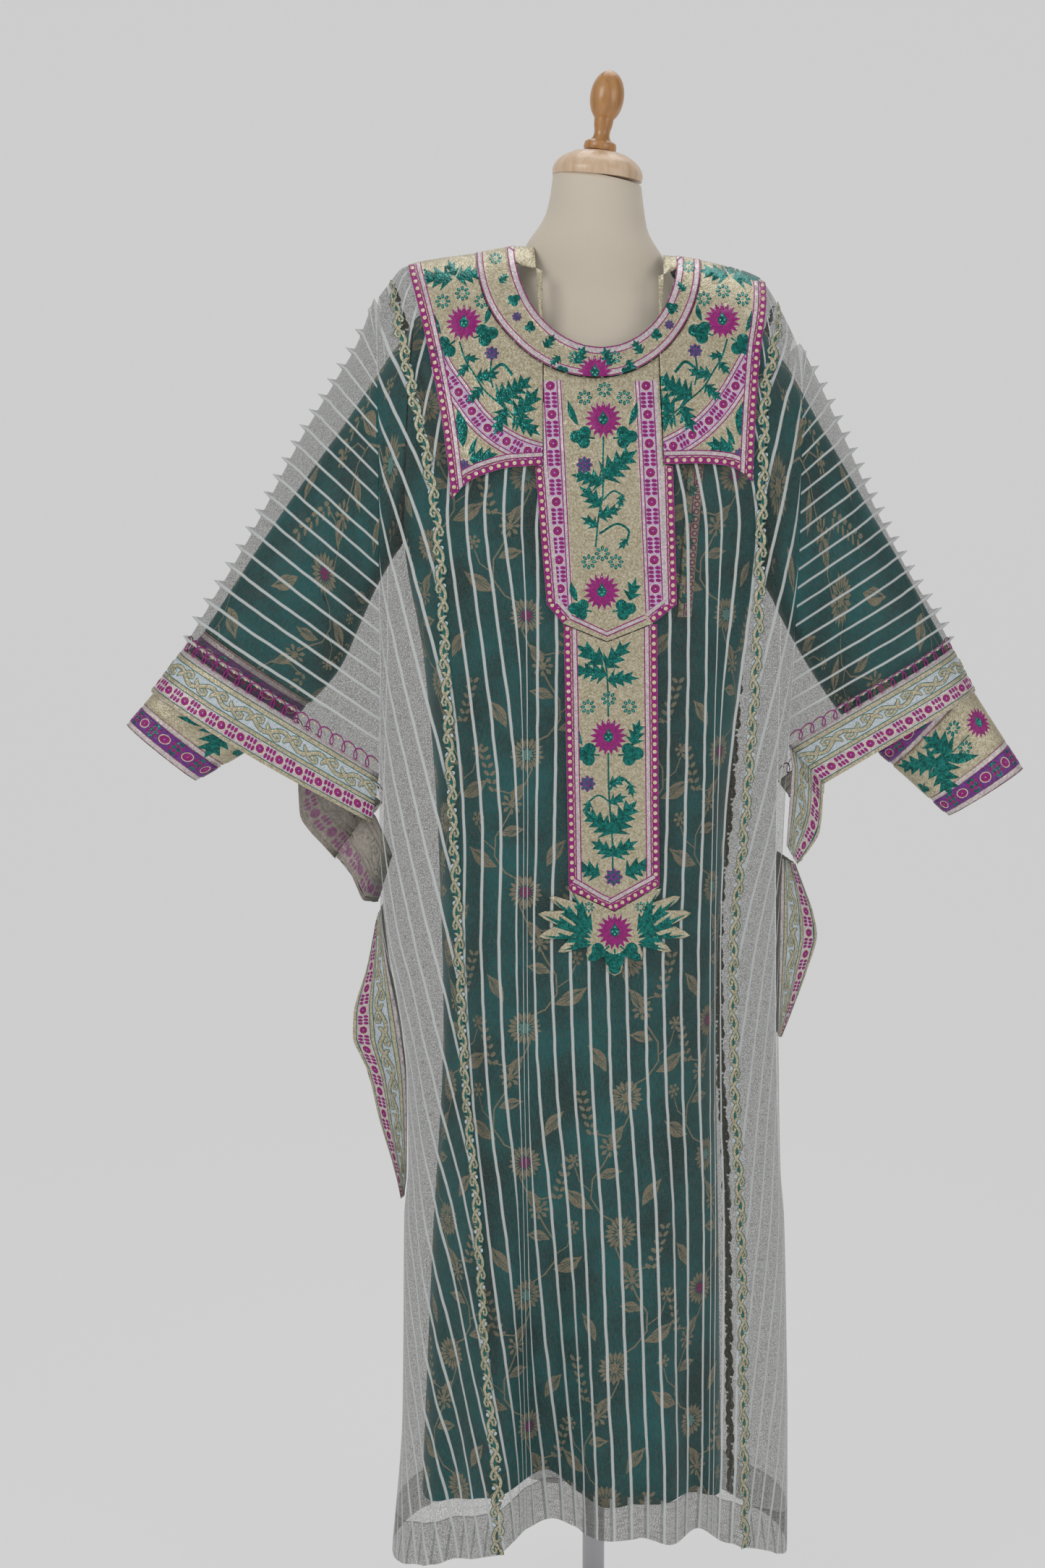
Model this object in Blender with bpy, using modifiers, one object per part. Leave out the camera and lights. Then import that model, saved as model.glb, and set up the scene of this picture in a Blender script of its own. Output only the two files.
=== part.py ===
"""Brocade kandura under a sheer overdress, on a dress form. Metres, +Z up, the wearer's front towards -Y.

Left and right are as seen from the front: left is -X. Each layer of cloth is one height field: depth_of
gives how far it lies before or behind the plane y = 0, at any place across and height. Panels are grids of
its points, and whatever is sewn on a panel is made from the same points, moved out.
"""

import math
from collections import namedtuple

import bmesh
import bpy
from mathutils import Vector

# Driving dimensions
RAISE = 0.085  # the stand is set this much higher than the heights below, which are measured on the outfit
CLOTH = 0.0010
EMBROIDERY = 0.0012
TRIM_WIDTH = 0.015
BODY_SQUARENESS = 2.5
SHOULDER_ROLL = 0.08
NECK_LEAN = math.radians(5.7)
FINIAL_LEAN = math.radians(8.0)
LEAN_START = 1.45  # height where the form's lean to the right begins
POLE_PLACE = 0.0  # place across of the pole and the base
POLE_RADIUS = 0.0130

# Gaps: half of it where front and back meet, half of it under a scroll trim, and the whole of the others
SEAM = 0.0006
TRIMMED_SEAM = 0.0002
APPLIQUE_GAP = 0.0012
ARMHOLE_GAP = 0.0014
SEAT_GAP = 0.0003
WEB_SEAM = 0.0012  # half the gap between front and back along the fold over the arm
WEB_GAP = 0.0010  # between the web and the side panel, whose facets don't follow each other
RIBBON_GAP = 0.0018

# From a panel's face to what is sewn on it: more where the facets of both cut the corners of a tight curve
APART = 0.0013
PLACKET_APART = 0.0008
YOKE_APART = 0.0019
BAND_APART = 0.0030
CROWN = 0.004  # how far below the shoulder ridge the embroidery stops

# Steps of the grids
TURNED_STEPS = 20
FORM_STEPS = 24
FORM_RINGS = 22
SLEEVE_STEPS = 8  # round half a sleeve, and down half an armhole
WEB_STEPS = 11
YOKE_STEPS = 7
PLASTRON_STEPS = 8
PALMETTE_STEPS = 20

Body = namedtuple("Body", "height left right front back edge")
Edge = namedtuple("Edge", "across height")
Line = namedtuple("Line", "height across")
Fold = namedtuple("Fold", "top hem start half_width depth")
Neck = namedtuple("Neck", "middle half_width front_drop back_drop")
Layer = namedtuple("Layer", "body ridge neck hem_front hem_back shoulders")
Section = namedtuple("Section", "height middle half_width front back")
Cuff = namedtuple("Cuff", "top_across top_height low_across low_height depth")
Arm = namedtuple("Arm", "share across height clear")
Rim = namedtuple("Rim", "down across height")
Ribbon = namedtuple("Ribbon", "in_x in_y in_z out_x out_y out_z")
Hanging = namedtuple("Hanging", "height across depth low")

# Dress form: heights, half widths and depths of its jersey body
FORM = [
    Section(0.800, -0.014, 0.1420, 0.100, 0.105),
    Section(0.860, -0.014, 0.1520, 0.108, 0.116),
    Section(0.940, -0.012, 0.1500, 0.104, 0.110),
    Section(1.060, -0.010, 0.1220, 0.092, 0.084),
    Section(1.160, -0.010, 0.1340, 0.104, 0.088),
    Section(1.260, -0.008, 0.1560, 0.124, 0.096),
    Section(1.340, -0.006, 0.1640, 0.118, 0.098),
    Section(1.420, -0.006, 0.1680, 0.097, 0.092),
    Section(1.450, -0.006, 0.1640, 0.085, 0.084),
    Section(1.480, -0.006, 0.1520, 0.069, 0.072),
    Section(1.505, -0.005, 0.1350, 0.058, 0.060),
    Section(1.525, -0.004, 0.1105, 0.048, 0.049),
    Section(1.542, -0.003, 0.0915, 0.045, 0.045),
    Section(1.562, -0.002, 0.0815, 0.046, 0.046),
    Section(1.575, -0.002, 0.0735, 0.048, 0.048),
    Section(1.587, -0.001, 0.0650, 0.049, 0.050),
    Section(1.600, 0.000, 0.0585, 0.048, 0.049),
    Section(1.630, 0.001, 0.0530, 0.047, 0.048),
    Section(1.6487, 0.001, 0.0510, 0.046, 0.047),
]

# Overdress: outline from the front, depth before and behind, and depth of the open side edge
OVERDRESS_BODY = [
    Body(0.034, -0.241, 0.231, 0.160, 0.165, SEAM),
    Body(0.200, -0.228, 0.230, 0.158, 0.162, SEAM),
    Body(0.300, -0.2265, 0.228, 0.156, 0.160, SEAM),
    Body(0.440, -0.2250, 0.224, 0.154, 0.158, SEAM),
    Body(0.500, -0.2200, 0.219, 0.153, 0.156, 0.004),
    Body(0.600, -0.221, 0.216, 0.152, 0.153, 0.010),
    Body(0.700, -0.233, 0.214, 0.151, 0.150, 0.018),
    Body(0.800, -0.250, 0.214, 0.150, 0.148, 0.028),
    Body(0.900, -0.250, 0.216, 0.150, 0.145, 0.045),
    Body(1.000, -0.248, 0.219, 0.150, 0.142, 0.062),
    Body(1.120, -0.246, 0.223, 0.150, 0.140, 0.085),
    Body(1.240, -0.246, 0.226, 0.150, 0.138, 0.104),
    Body(1.320, -0.246, 0.227, 0.146, 0.136, 0.105),
    Body(1.400, -0.247, 0.228, 0.126, 0.130, 0.098),
    Body(1.450, -0.248, 0.228, 0.106, 0.122, 0.088),
    Body(1.500, -0.250, 0.227, 0.085, 0.112, 0.070),
    Body(1.580, -0.251, 0.226, 0.070, 0.100, 0.050),
]
OVERDRESS_RIDGE = [
    Edge(-0.252, 1.512),
    Edge(-0.238, 1.530),
    Edge(-0.222, 1.548),
    Edge(-0.190, 1.556),
    Edge(-0.140, 1.563),
    Edge(-0.092, 1.571),
    Edge(0.088, 1.560),
    Edge(0.150, 1.548),
    Edge(0.190, 1.532),
    Edge(0.208, 1.506),
    Edge(0.230, 1.462),
]
TRIM_LEFT = [
    Line(0.055, -0.113),
    Line(0.156, -0.114),
    Line(0.285, -0.125),
    Line(0.486, -0.137),
    Line(0.620, -0.149),
    Line(0.820, -0.158),
    Line(1.053, -0.169),
    Line(1.245, -0.179),
    Line(1.331, -0.192),
    Line(1.392, -0.206),
    Line(1.489, -0.226),
    Line(1.545, -0.236),
]
TRIM_RIGHT = [
    Line(0.055, 0.172),
    Line(0.280, 0.168),
    Line(0.480, 0.163),
    Line(0.603, 0.156),
    Line(0.765, 0.153),
    Line(0.931, 0.166),
    Line(1.148, 0.178),
    Line(1.320, 0.182),
    Line(1.395, 0.185),
    Line(1.444, 0.195),
    Line(1.488, 0.204),
    Line(1.545, 0.208),
]
# Folds of the skirts: place across at the start and the hem, and how far the cloth goes in, for both layers
FOLD_END = 0.085
FRONT_FOLDS = [
    Fold(-0.062, -0.052, 0.86, 0.036, 0.058),
    Fold(-0.112, -0.112, 0.95, 0.022, -0.016),
    Fold(-0.175, -0.165, 1.15, 0.018, 0.022),
    Fold(0.004, 0.010, 0.80, 0.024, -0.010),
    Fold(0.104, 0.116, 0.85, 0.022, 0.028),
    Fold(0.076, 0.080, 0.85, 0.018, -0.010),
    Fold(0.186, 0.192, 1.05, 0.016, 0.014),
]
BACK_FOLDS = [
    Fold(-0.150, -0.160, 1.05, 0.026, 0.026),
    Fold(-0.096, -0.104, 1.00, 0.022, -0.014),
    Fold(-0.040, -0.046, 0.95, 0.026, 0.034),
    Fold(0.014, 0.012, 1.00, 0.022, -0.014),
    Fold(0.066, 0.070, 0.95, 0.026, 0.032),
    Fold(0.122, 0.130, 1.05, 0.022, -0.012),
    Fold(0.172, 0.182, 1.05, 0.020, 0.018),
]
OVERDRESS_HEM_FRONT = [
    Edge(-0.240, 0.034),
    Edge(-0.180, 0.054),
    Edge(-0.118, 0.079),
    Edge(-0.082, 0.098),
    Edge(-0.045, 0.104),
    Edge(-0.010, 0.100),
    Edge(0.060, 0.099),
    Edge(0.092, 0.092),
    Edge(0.118, 0.099),
    Edge(0.143, 0.088),
    Edge(0.190, 0.066),
    Edge(0.231, 0.040),
]
OVERDRESS_HEM_BACK = [Edge(-0.240, 0.034), Edge(-0.120, 0.066), Edge(0.120, 0.066), Edge(0.231, 0.040)]
OVERDRESS = Layer(
    OVERDRESS_BODY,
    OVERDRESS_RIDGE,
    Neck(-0.002, 0.090, 0.116, 0.030),
    OVERDRESS_HEM_FRONT,
    OVERDRESS_HEM_BACK,
    ((-0.205, -0.172, -0.135), (0.118, 0.148, 0.176)),
)

# Kandura: narrower, and a wall and a finger's width inside the overdress
KANDURA_BODY = [
    Body(0.100, -0.205, 0.152, 0.140, 0.140, SEAM),
    Body(0.400, -0.192, 0.147, 0.138, 0.138, SEAM),
    Body(0.680, -0.178, 0.142, 0.136, 0.132, SEAM),
    Body(0.900, -0.184, 0.152, 0.136, 0.128, SEAM),
    Body(1.100, -0.200, 0.172, 0.136, 0.124, SEAM),
    Body(1.215, -0.220, 0.186, 0.136, 0.123, SEAM),
    Body(1.240, -0.222, 0.187, 0.135, 0.122, 0.010),
    Body(1.260, -0.221, 0.187, 0.134, 0.122, 0.034),
    Body(1.300, -0.219, 0.188, 0.131, 0.121, 0.062),
    Body(1.366, -0.215, 0.190, 0.122, 0.118, 0.078),
    Body(1.420, -0.212, 0.193, 0.106, 0.112, 0.082),
    Body(1.450, -0.210, 0.195, 0.093, 0.106, 0.082),
    Body(1.500, -0.208, 0.196, 0.072, 0.094, 0.078),
    Body(1.560, -0.208, 0.196, 0.062, 0.082, 0.070),
]
KANDURA_RIDGE = [
    Edge(-0.208, 1.490),
    Edge(-0.170, 1.518),
    Edge(-0.130, 1.540),
    Edge(-0.097, 1.556),
    Edge(0.093, 1.546),
    Edge(0.125, 1.533),
    Edge(0.160, 1.508),
    Edge(0.196, 1.474),
]
KANDURA_HEM_FRONT = [
    Edge(-0.205, 0.108),
    Edge(-0.150, 0.128),
    Edge(-0.104, 0.146),
    Edge(-0.060, 0.158),
    Edge(-0.021, 0.140),
    Edge(0.020, 0.131),
    Edge(0.100, 0.131),
    Edge(0.152, 0.112),
]
KANDURA_HEM_BACK = [Edge(-0.205, 0.108), Edge(-0.090, 0.124), Edge(0.060, 0.124), Edge(0.152, 0.112)]
KANDURA = Layer(
    KANDURA_BODY,
    KANDURA_RIDGE,
    Neck(-0.002, 0.095, 0.108, 0.022),
    KANDURA_HEM_FRONT,
    KANDURA_HEM_BACK,
    ((-0.192, -0.165, -0.130), (0.122, 0.152, 0.180)),
)
ARMPIT = {"left": 1.240, "right": 1.215}

# Sleeves of the kandura: upper and lower edge from the front, and half the depth, from armhole to wrist
SLEEVES = {
    "left": [
        Cuff(-0.209, 1.490, -0.223, 1.240, 0.080),
        Cuff(-0.238, 1.446, -0.237, 1.214, 0.066),
        Cuff(-0.288, 1.372, -0.256, 1.180, 0.052),
        Cuff(-0.356, 1.277, -0.276, 1.135, 0.043),
        Cuff(-0.410, 1.198, -0.298, 1.088, 0.036),
        Cuff(-0.454, 1.131, -0.332, 1.048, 0.030),
        Cuff(-0.498, 1.077, -0.392, 1.000, 0.025),
        Cuff(-0.547, 1.020, -0.467, 0.955, 0.019),
    ],
    "right": [
        Cuff(0.197, 1.474, 0.188, 1.215, 0.080),
        Cuff(0.223, 1.430, 0.206, 1.168, 0.066),
        Cuff(0.262, 1.362, 0.232, 1.118, 0.052),
        Cuff(0.312, 1.278, 0.258, 1.075, 0.043),
        Cuff(0.362, 1.194, 0.284, 1.038, 0.036),
        Cuff(0.413, 1.104, 0.325, 0.994, 0.030),
        Cuff(0.453, 1.040, 0.366, 0.958, 0.025),
        Cuff(0.500, 0.969, 0.414, 0.914, 0.019),
    ],
}
CUFF_STATION = 5

# Overdress sleeves: the fold over the arm, from shoulder to border, and how far the cloth stands off there
ARM_FOLD = {
    "left": [
        Arm(0.0, -0.2525, 1.510, 0.088),
        Arm(0.10, -0.272, 1.460, 0.080),
        Arm(0.22, -0.298, 1.417, 0.073),
        Arm(0.42, -0.341, 1.346, 0.063),
        Arm(0.68, -0.396, 1.243, 0.053),
        Arm(0.88, -0.446, 1.160, 0.046),
        Arm(1.0, -0.480, 1.110, 0.042),
    ],
    "right": [
        Arm(0.0, 0.2305, 1.459, 0.088),
        Arm(0.14, 0.258, 1.405, 0.078),
        Arm(0.32, 0.290, 1.338, 0.068),
        Arm(0.52, 0.322, 1.2692, 0.059),
        Arm(0.74, 0.362, 1.1955, 0.050),
        Arm(0.90, 0.396, 1.143, 0.045),
        Arm(1.0, 0.415, 1.112, 0.042),
    ],
}
# Where the web of an overdress sleeve meets the side panel: highest point, and lowest in front and behind
WEB_TOP = {"left": 1.470, "right": 1.425}
WEB_LOW = {
    ("left", -1): 0.969,
    ("left", 1): 0.925,
    ("right", -1): 1.002,
    ("right", 1): 0.950,
}
# Outer edge of a border, from the fold over the arm down to the body, in front (-1) and behind (1)
BORDER_OUTER = {
    ("left", -1): [Rim(0.0, -0.518, 1.061), Rim(0.50, -0.388, 0.981), Rim(1.0, -0.259, 0.911)],
    ("left", 1): [
        Rim(0.0, -0.518, 1.061),
        Rim(0.70, -0.352, 0.955),
        Rim(0.85, -0.350, 0.912),
        Rim(1.0, -0.308, 0.857),
    ],
    ("right", -1): [Rim(0.0, 0.443, 1.062), Rim(1.0, 0.261, 0.957)],
    ("right", 1): [
        Rim(0.0, 0.443, 1.062),
        Rim(0.70, 0.317, 0.982),
        Rim(0.85, 0.270, 0.950),
        Rim(1.0, 0.262, 0.893),
    ],
}
WEB_ROUND = 0.35  # share of the web, from the fold over the arm, that curves down

# Border below each sleeve, where it folds over on itself: inner edge, outer edge. It goes on from the border
# behind (1) on the left, and from the one in front (-1) on the right.
CASCADE_FROM = {"left": 1, "right": -1}
CASCADES = {
    "left": [
        Ribbon(-0.262, 0.006, 0.920, -0.300, 0.004, 0.870),
        Ribbon(-0.263, -0.010, 0.921, -0.303, -0.009, 0.867),
        Ribbon(-0.257, -0.022, 0.917, -0.296, -0.020, 0.861),
        Ribbon(-0.249, -0.027, 0.901, -0.284, -0.026, 0.846),
        Ribbon(-0.242, -0.024, 0.884, -0.270, -0.020, 0.816),
        Ribbon(-0.238, -0.010, 0.868, -0.255, -0.002, 0.813),
    ],
    "right": [
        Ribbon(0.225, -0.060, 0.975, 0.262, -0.040, 0.925),
        Ribbon(0.223, -0.066, 0.948, 0.260, -0.034, 0.900),
        Ribbon(0.221, -0.069, 0.918, 0.249, -0.034, 0.879),
        Ribbon(0.219, -0.070, 0.886, 0.234, -0.038, 0.861),
    ],
}
# Border down the open side below the sleeve: inner edge's height, then its outer edge
SIDE_BORDERS = {
    "left": [
        Hanging(0.805, -0.2565, 0.002, 0.790),
        Hanging(0.745, -0.2680, 0.003, 0.735),
        Hanging(0.690, -0.2840, 0.004, 0.680),
        Hanging(0.650, -0.2850, 0.004, 0.652),
        Hanging(0.600, -0.2680, 0.004, 0.612),
        Hanging(0.545, -0.2540, 0.003, 0.552),
        Hanging(0.490, -0.2370, 0.003, 0.494),
        Hanging(0.462, -0.2290, 0.003, 0.458),
    ],
    "right": [
        Hanging(0.868, 0.2340, 0.010, 0.858),
        Hanging(0.842, 0.2460, 0.006, 0.828),
        Hanging(0.812, 0.2560, 0.004, 0.800),
        Hanging(0.780, 0.2610, 0.003, 0.772),
        Hanging(0.735, 0.2500, 0.003, 0.732),
        Hanging(0.695, 0.2360, 0.003, 0.692),
        Hanging(0.655, 0.2200, 0.003, 0.652),
    ],
}

# Embroidered yoke and plastron, as outlines on the front of the overdress
BAND_MIDDLE = -0.010
BAND_HALF_WIDTH = 0.127
BAND_DROP = 0.152
BACK_BAND_WIDTH = 0.022
YOKE_OUTER = {
    "left": [
        Line(1.281, -0.163),
        Line(1.360, -0.173),
        Line(1.424, -0.185),
        Line(1.493, -0.201),
        Line(1.545, -0.215),
    ],
    "right": [
        Line(1.303, 0.170),
        Line(1.360, 0.173),
        Line(1.440, 0.180),
        Line(1.505, 0.190),
        Line(1.545, 0.192),
    ],
}
YOKE_LOW = {"left": (1.281, 1.316), "right": (1.300, 1.319)}  # lowest height at the outer and the inner edge
PLASTRON = {
    "left": [Line(1.165, -0.0585), Line(1.420, -0.0690)],
    "right": [Line(1.165, 0.0835), Line(1.420, 0.0800)],
}
UPPER_POINT = [
    Edge(-0.0585, 1.165),
    Edge(-0.0380, 1.143),
    Edge(0.0100, 1.124),
    Edge(0.0600, 1.143),
    Edge(0.0835, 1.165),
]
LOWER_TOP = (-0.0375, 0.0595)
LOWER_POINT = [Edge(-0.033, 0.846), Edge(0.018, 0.822), Edge(0.067, 0.850)]
PALMETTE_SIDES = (-0.064, 0.106)
PALMETTE_TOP = 0.846
PALMETTE_EDGE = 0.806
PALMETTE_TIP = 0.744
PALMETTE_LOBES = 5
PALMETTE_LOBE_DEPTH = 0.009
PLACKET_HEIGHTS = (1.150, 1.320)
PLACKET_LINES = (
    [Line(1.150, 0.088), Line(1.320, 0.100)],
    [Line(1.150, 0.104), Line(1.320, 0.117)],
)

# Turned pieces: radius and height of each corner, top to bottom
NECK_CAP = (
    (0.0, 0.0268),
    (0.0180, 0.0268),
    (0.0310, 0.0240),
    (0.0430, 0.0170),
    (0.0505, 0.0080),
    (0.0522, 0.0010),
    (0.0515, -0.0040),
    (0.0, -0.0040),
)
FINIAL_EGG_RADIUS = 0.0195
FINIAL_EGG_HALF_HEIGHT = 0.0300
FINIAL_EGG_MIDDLE = 0.0610
FINIAL_STEM = (
    (0.0105, 0.0280),
    (0.0090, 0.0185),
    (0.0115, 0.0120),
    (0.0180, 0.0085),
    (0.0188, 0.0050),
    (0.0180, 0.0),
    (0.0, 0.0),
)
STAND_BASE = (
    (0.0, 0.0340),
    (0.0280, 0.0340),
    (0.0340, 0.0280),
    (0.0500, 0.0200),
    (0.1500, 0.0140),
    (0.1680, 0.0090),
    (0.1700, 0.0020),
    (0.1690, 0.0),
    (0.0, 0.0),
)

# Colours, linear RGB
JERSEY = (0.62, 0.53, 0.42)
BEECH = (0.50, 0.27, 0.11)
STEEL = (0.45, 0.45, 0.46)
TEAL = (0.005, 0.13, 0.12)
TULLE = (0.42, 0.40, 0.36)
GOLD_THREAD = (0.66, 0.55, 0.28)


def read(rows, column, place):
    """A column's value at a place in the first column, on a smooth curve that never overshoots the rows."""
    places = [row[0] for row in rows]
    values = [getattr(row, column) for row in rows]
    place = min(max(place, places[0]), places[-1])
    index = max(i for i in range(len(rows) - 1) if places[i] <= place)
    steps = [after - before for before, after in zip(places, places[1:])]
    rises = [(after - before) / step for before, after, step in zip(values, values[1:], steps)]

    def slope(i):
        if i == 0 or i == len(rows) - 1:
            return rises[min(i, len(rises) - 1)]
        before, after = rises[i - 1], rises[i]
        return 0.0 if before * after <= 0 else 2 * before * after / (before + after)

    step = steps[index]
    t = (place - places[index]) / step
    start, end = values[index], values[index + 1]
    bend_in = slope(index) * step
    bend_out = slope(index + 1) * step
    return (
        start * (1 + 2 * t) * (1 - t) ** 2
        + bend_in * t * (1 - t) ** 2
        + end * t * t * (3 - 2 * t)
        + bend_out * t * t * (t - 1)
    )


def mix(a, b, share):
    return a + (b - a) * share


def bulge(offset):
    """1 in the middle of a body, falling to 0 at its sides, as a squared ellipse does."""
    return max(0.0, 1 - abs(offset) ** BODY_SQUARENESS) ** (1 / BODY_SQUARENESS)


def rounded(share):
    """0 to 1 along a quarter circle."""
    return math.sqrt(max(0.0, 1 - (1 - min(max(share, 0.0), 1.0)) ** 2))


def spaced(start, end, steps):
    return [mix(start, end, i / steps) for i in range(steps + 1)]


def depth_of(layer, across, height, facing):
    """Distance of a layer of cloth before (facing -1) or behind (facing 1) the plane y = 0."""
    left = read(layer.body, "left", height)
    right = read(layer.body, "right", height)
    reach = read(layer.body, "front" if facing < 0 else "back", height)
    edge = read(layer.body, "edge", height)
    across_share = bulge((2 * across - left - right) / (right - left))
    depth = edge + (reach - edge) * across_share
    for fold in FRONT_FOLDS if facing < 0 else BACK_FOLDS:
        fall = min(max((fold.start - height) / (fold.start - FOLD_END), 0.0), 1.0)
        middle = mix(fold.top, fold.hem, fall)
        shape = math.exp(-(((across - middle) / fold.half_width) ** 2))
        depth -= fold.depth * shape * fall**1.3 * across_share
    below_ridge = read(layer.ridge, "height", across) - height
    return SEAM + (depth - SEAM) * rounded(below_ridge / SHOULDER_ROLL)


def on_layer(layer, across, height, facing):
    """A point of a layer, and the normal there, both shared by every piece with this place on its edge."""
    step = 0.0005
    right = depth_of(layer, across + step, height, facing)
    left = depth_of(layer, across - step, height, facing)
    upper = depth_of(layer, across, height + step, facing)
    lower = depth_of(layer, across, height - step, facing)
    normal = Vector((left - right, facing * 2 * step, lower - upper)).normalized()
    depth = depth_of(layer, across, height, facing)
    return Vector((across, facing * depth, height + RAISE)), normal


def neck_edge(layer, across, facing):
    """Height of a layer's upper edge: the shoulder ridge, or the neckline inside the neck's width."""
    neck = layer.neck
    offset = (across - neck.middle) / neck.half_width
    height = read(layer.ridge, "height", across)
    if abs(offset) >= 1:
        return height
    return height - (neck.front_drop if facing < 0 else neck.back_drop) * math.sqrt(1 - offset**2)


def neck_places(neck, steps):
    return [neck.middle - neck.half_width * math.cos(math.pi * i / steps) for i in range(steps + 1)]


def on_ridge(line, layer):
    """Place where a line that gives a place across for a height meets the shoulder ridge."""
    place = 0.0
    for _ in range(20):
        place = line(read(layer.ridge, "height", place))
    return place


def panel_points(layer, left, right, tops, facing, knees, low_rows):
    """Rows of points from the upper edge to the hem, between two lines that give a place across for a height.

    tops are the places of the columns along the upper edge. The upper rows are spaced like the points of an
    armhole, down to the heights in knees at the left and right edges, and the others evenly.
    """
    heights = [neck_edge(layer, place, facing) for place in tops]
    shares = [(place - left(z)) / (right(z) - left(z)) for place, z in zip(tops, heights)]
    shares[0], shares[-1] = 0.0, 1.0
    hem = layer.hem_front if facing < 0 else layer.hem_back
    hem_left, hem_right = left(FOLD_END), right(FOLD_END)
    rows = []
    for k in range(SLEEVE_STEPS + low_rows + 1):
        row = []
        for share, top in zip(shares, heights):
            knee = mix(knees[0], knees[1], share)
            foot = read(hem, "height", mix(hem_left, hem_right, share))
            if k <= SLEEVE_STEPS:
                height = mix(top, knee, (1 - math.cos(math.pi * k / SLEEVE_STEPS)) / 2)
            else:
                height = mix(knee, foot, (k - SLEEVE_STEPS) / low_rows)
            across = mix(left(height), right(height), share)
            row.append(on_layer(layer, across, height, facing))
        rows.append(row)
    return rows


def material_of(name, colour, roughness, metallic=0.0):
    material = bpy.data.materials.new(name)
    material.use_nodes = True
    shader = material.node_tree.nodes["Principled BSDF"]
    shader.inputs["Base Color"].default_value = (*colour, 1.0)
    shader.inputs["Roughness"].default_value = roughness
    shader.inputs["Metallic"].default_value = metallic
    return material


def finished(name, mesh, material):
    mesh.shade_smooth()
    mesh.set_sharp_from_angle(angle=math.radians(40))
    mesh.materials.append(material)
    thing = bpy.data.objects.new(name, mesh)
    outfit.objects.link(thing)
    return thing


def loft(name, rows, material):
    """A closed body through rings of points, the first and last ring filled."""
    shape = bmesh.new()
    grid = [[shape.verts.new(point) for point in row] for row in rows]
    columns = len(rows[0])
    for upper, lower in zip(grid, grid[1:]):
        for i in range(columns):
            j = (i + 1) % columns
            shape.faces.new((upper[i], lower[i], lower[j], upper[j]))
    shape.faces.new(grid[0])
    shape.faces.new(reversed(grid[-1]))
    mesh = bpy.data.meshes.new(name)
    shape.to_mesh(mesh)
    shape.free()
    return finished(name, mesh, material)


def sheet(name, grid, material, facing, near=-CLOTH, far=0.0):
    """Cloth along rows of (point, normal), which run left to right, top to bottom.

    Its faces lie at the distances near and far from the points. The wall isn't a Solidify modifier's, because
    the normals along a seam have to be the same in both pieces that meet there.
    """
    if facing > 0:
        grid = [row[::-1] for row in grid]
    shape = bmesh.new()
    faces = []
    for distance in (far, near):
        faces.append([])
        for row in grid:
            faces[-1].append([shape.verts.new(point + normal * distance) for point, normal in row])
    outer, inner = faces
    for k in range(len(grid) - 1):
        for i in range(len(grid[0]) - 1):
            shape.faces.new((outer[k][i], outer[k + 1][i], outer[k + 1][i + 1], outer[k][i + 1]))
            shape.faces.new((inner[k][i], inner[k][i + 1], inner[k + 1][i + 1], inner[k + 1][i]))
    rim = [(k, 0) for k in range(len(grid))]
    rim += [(len(grid) - 1, i) for i in range(1, len(grid[0]))]
    rim += [(k, len(grid[0]) - 1) for k in range(len(grid) - 2, -1, -1)]
    rim += [(0, i) for i in range(len(grid[0]) - 2, 0, -1)]
    for (k, i), (m, j) in zip(rim, rim[1:] + rim[:1]):
        shape.faces.new((outer[k][i], inner[k][i], inner[m][j], outer[m][j]))
    mesh = bpy.data.meshes.new(name)
    shape.to_mesh(mesh)
    shape.free()
    return finished(name, mesh, material)


def with_normals(rows, facing):
    """Rows of (point, normal) from rows of points, for cloth that hangs free of the layers."""
    grid = []
    for k, row in enumerate(rows):
        line = []
        for i, point in enumerate(row):
            down = rows[min(k + 1, len(rows) - 1)][i] - rows[max(k - 1, 0)][i]
            along = row[min(i + 1, len(row) - 1)] - row[max(i - 1, 0)]
            line.append((point, down.cross(along).normalized() * -facing))
        grid.append(line)
    return grid


def line_at(rows, shift=0.0):
    return lambda height: read(rows, "across", height) + shift


def body_edge(layer, side):
    return lambda height: read(layer.body, side, height)


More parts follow.
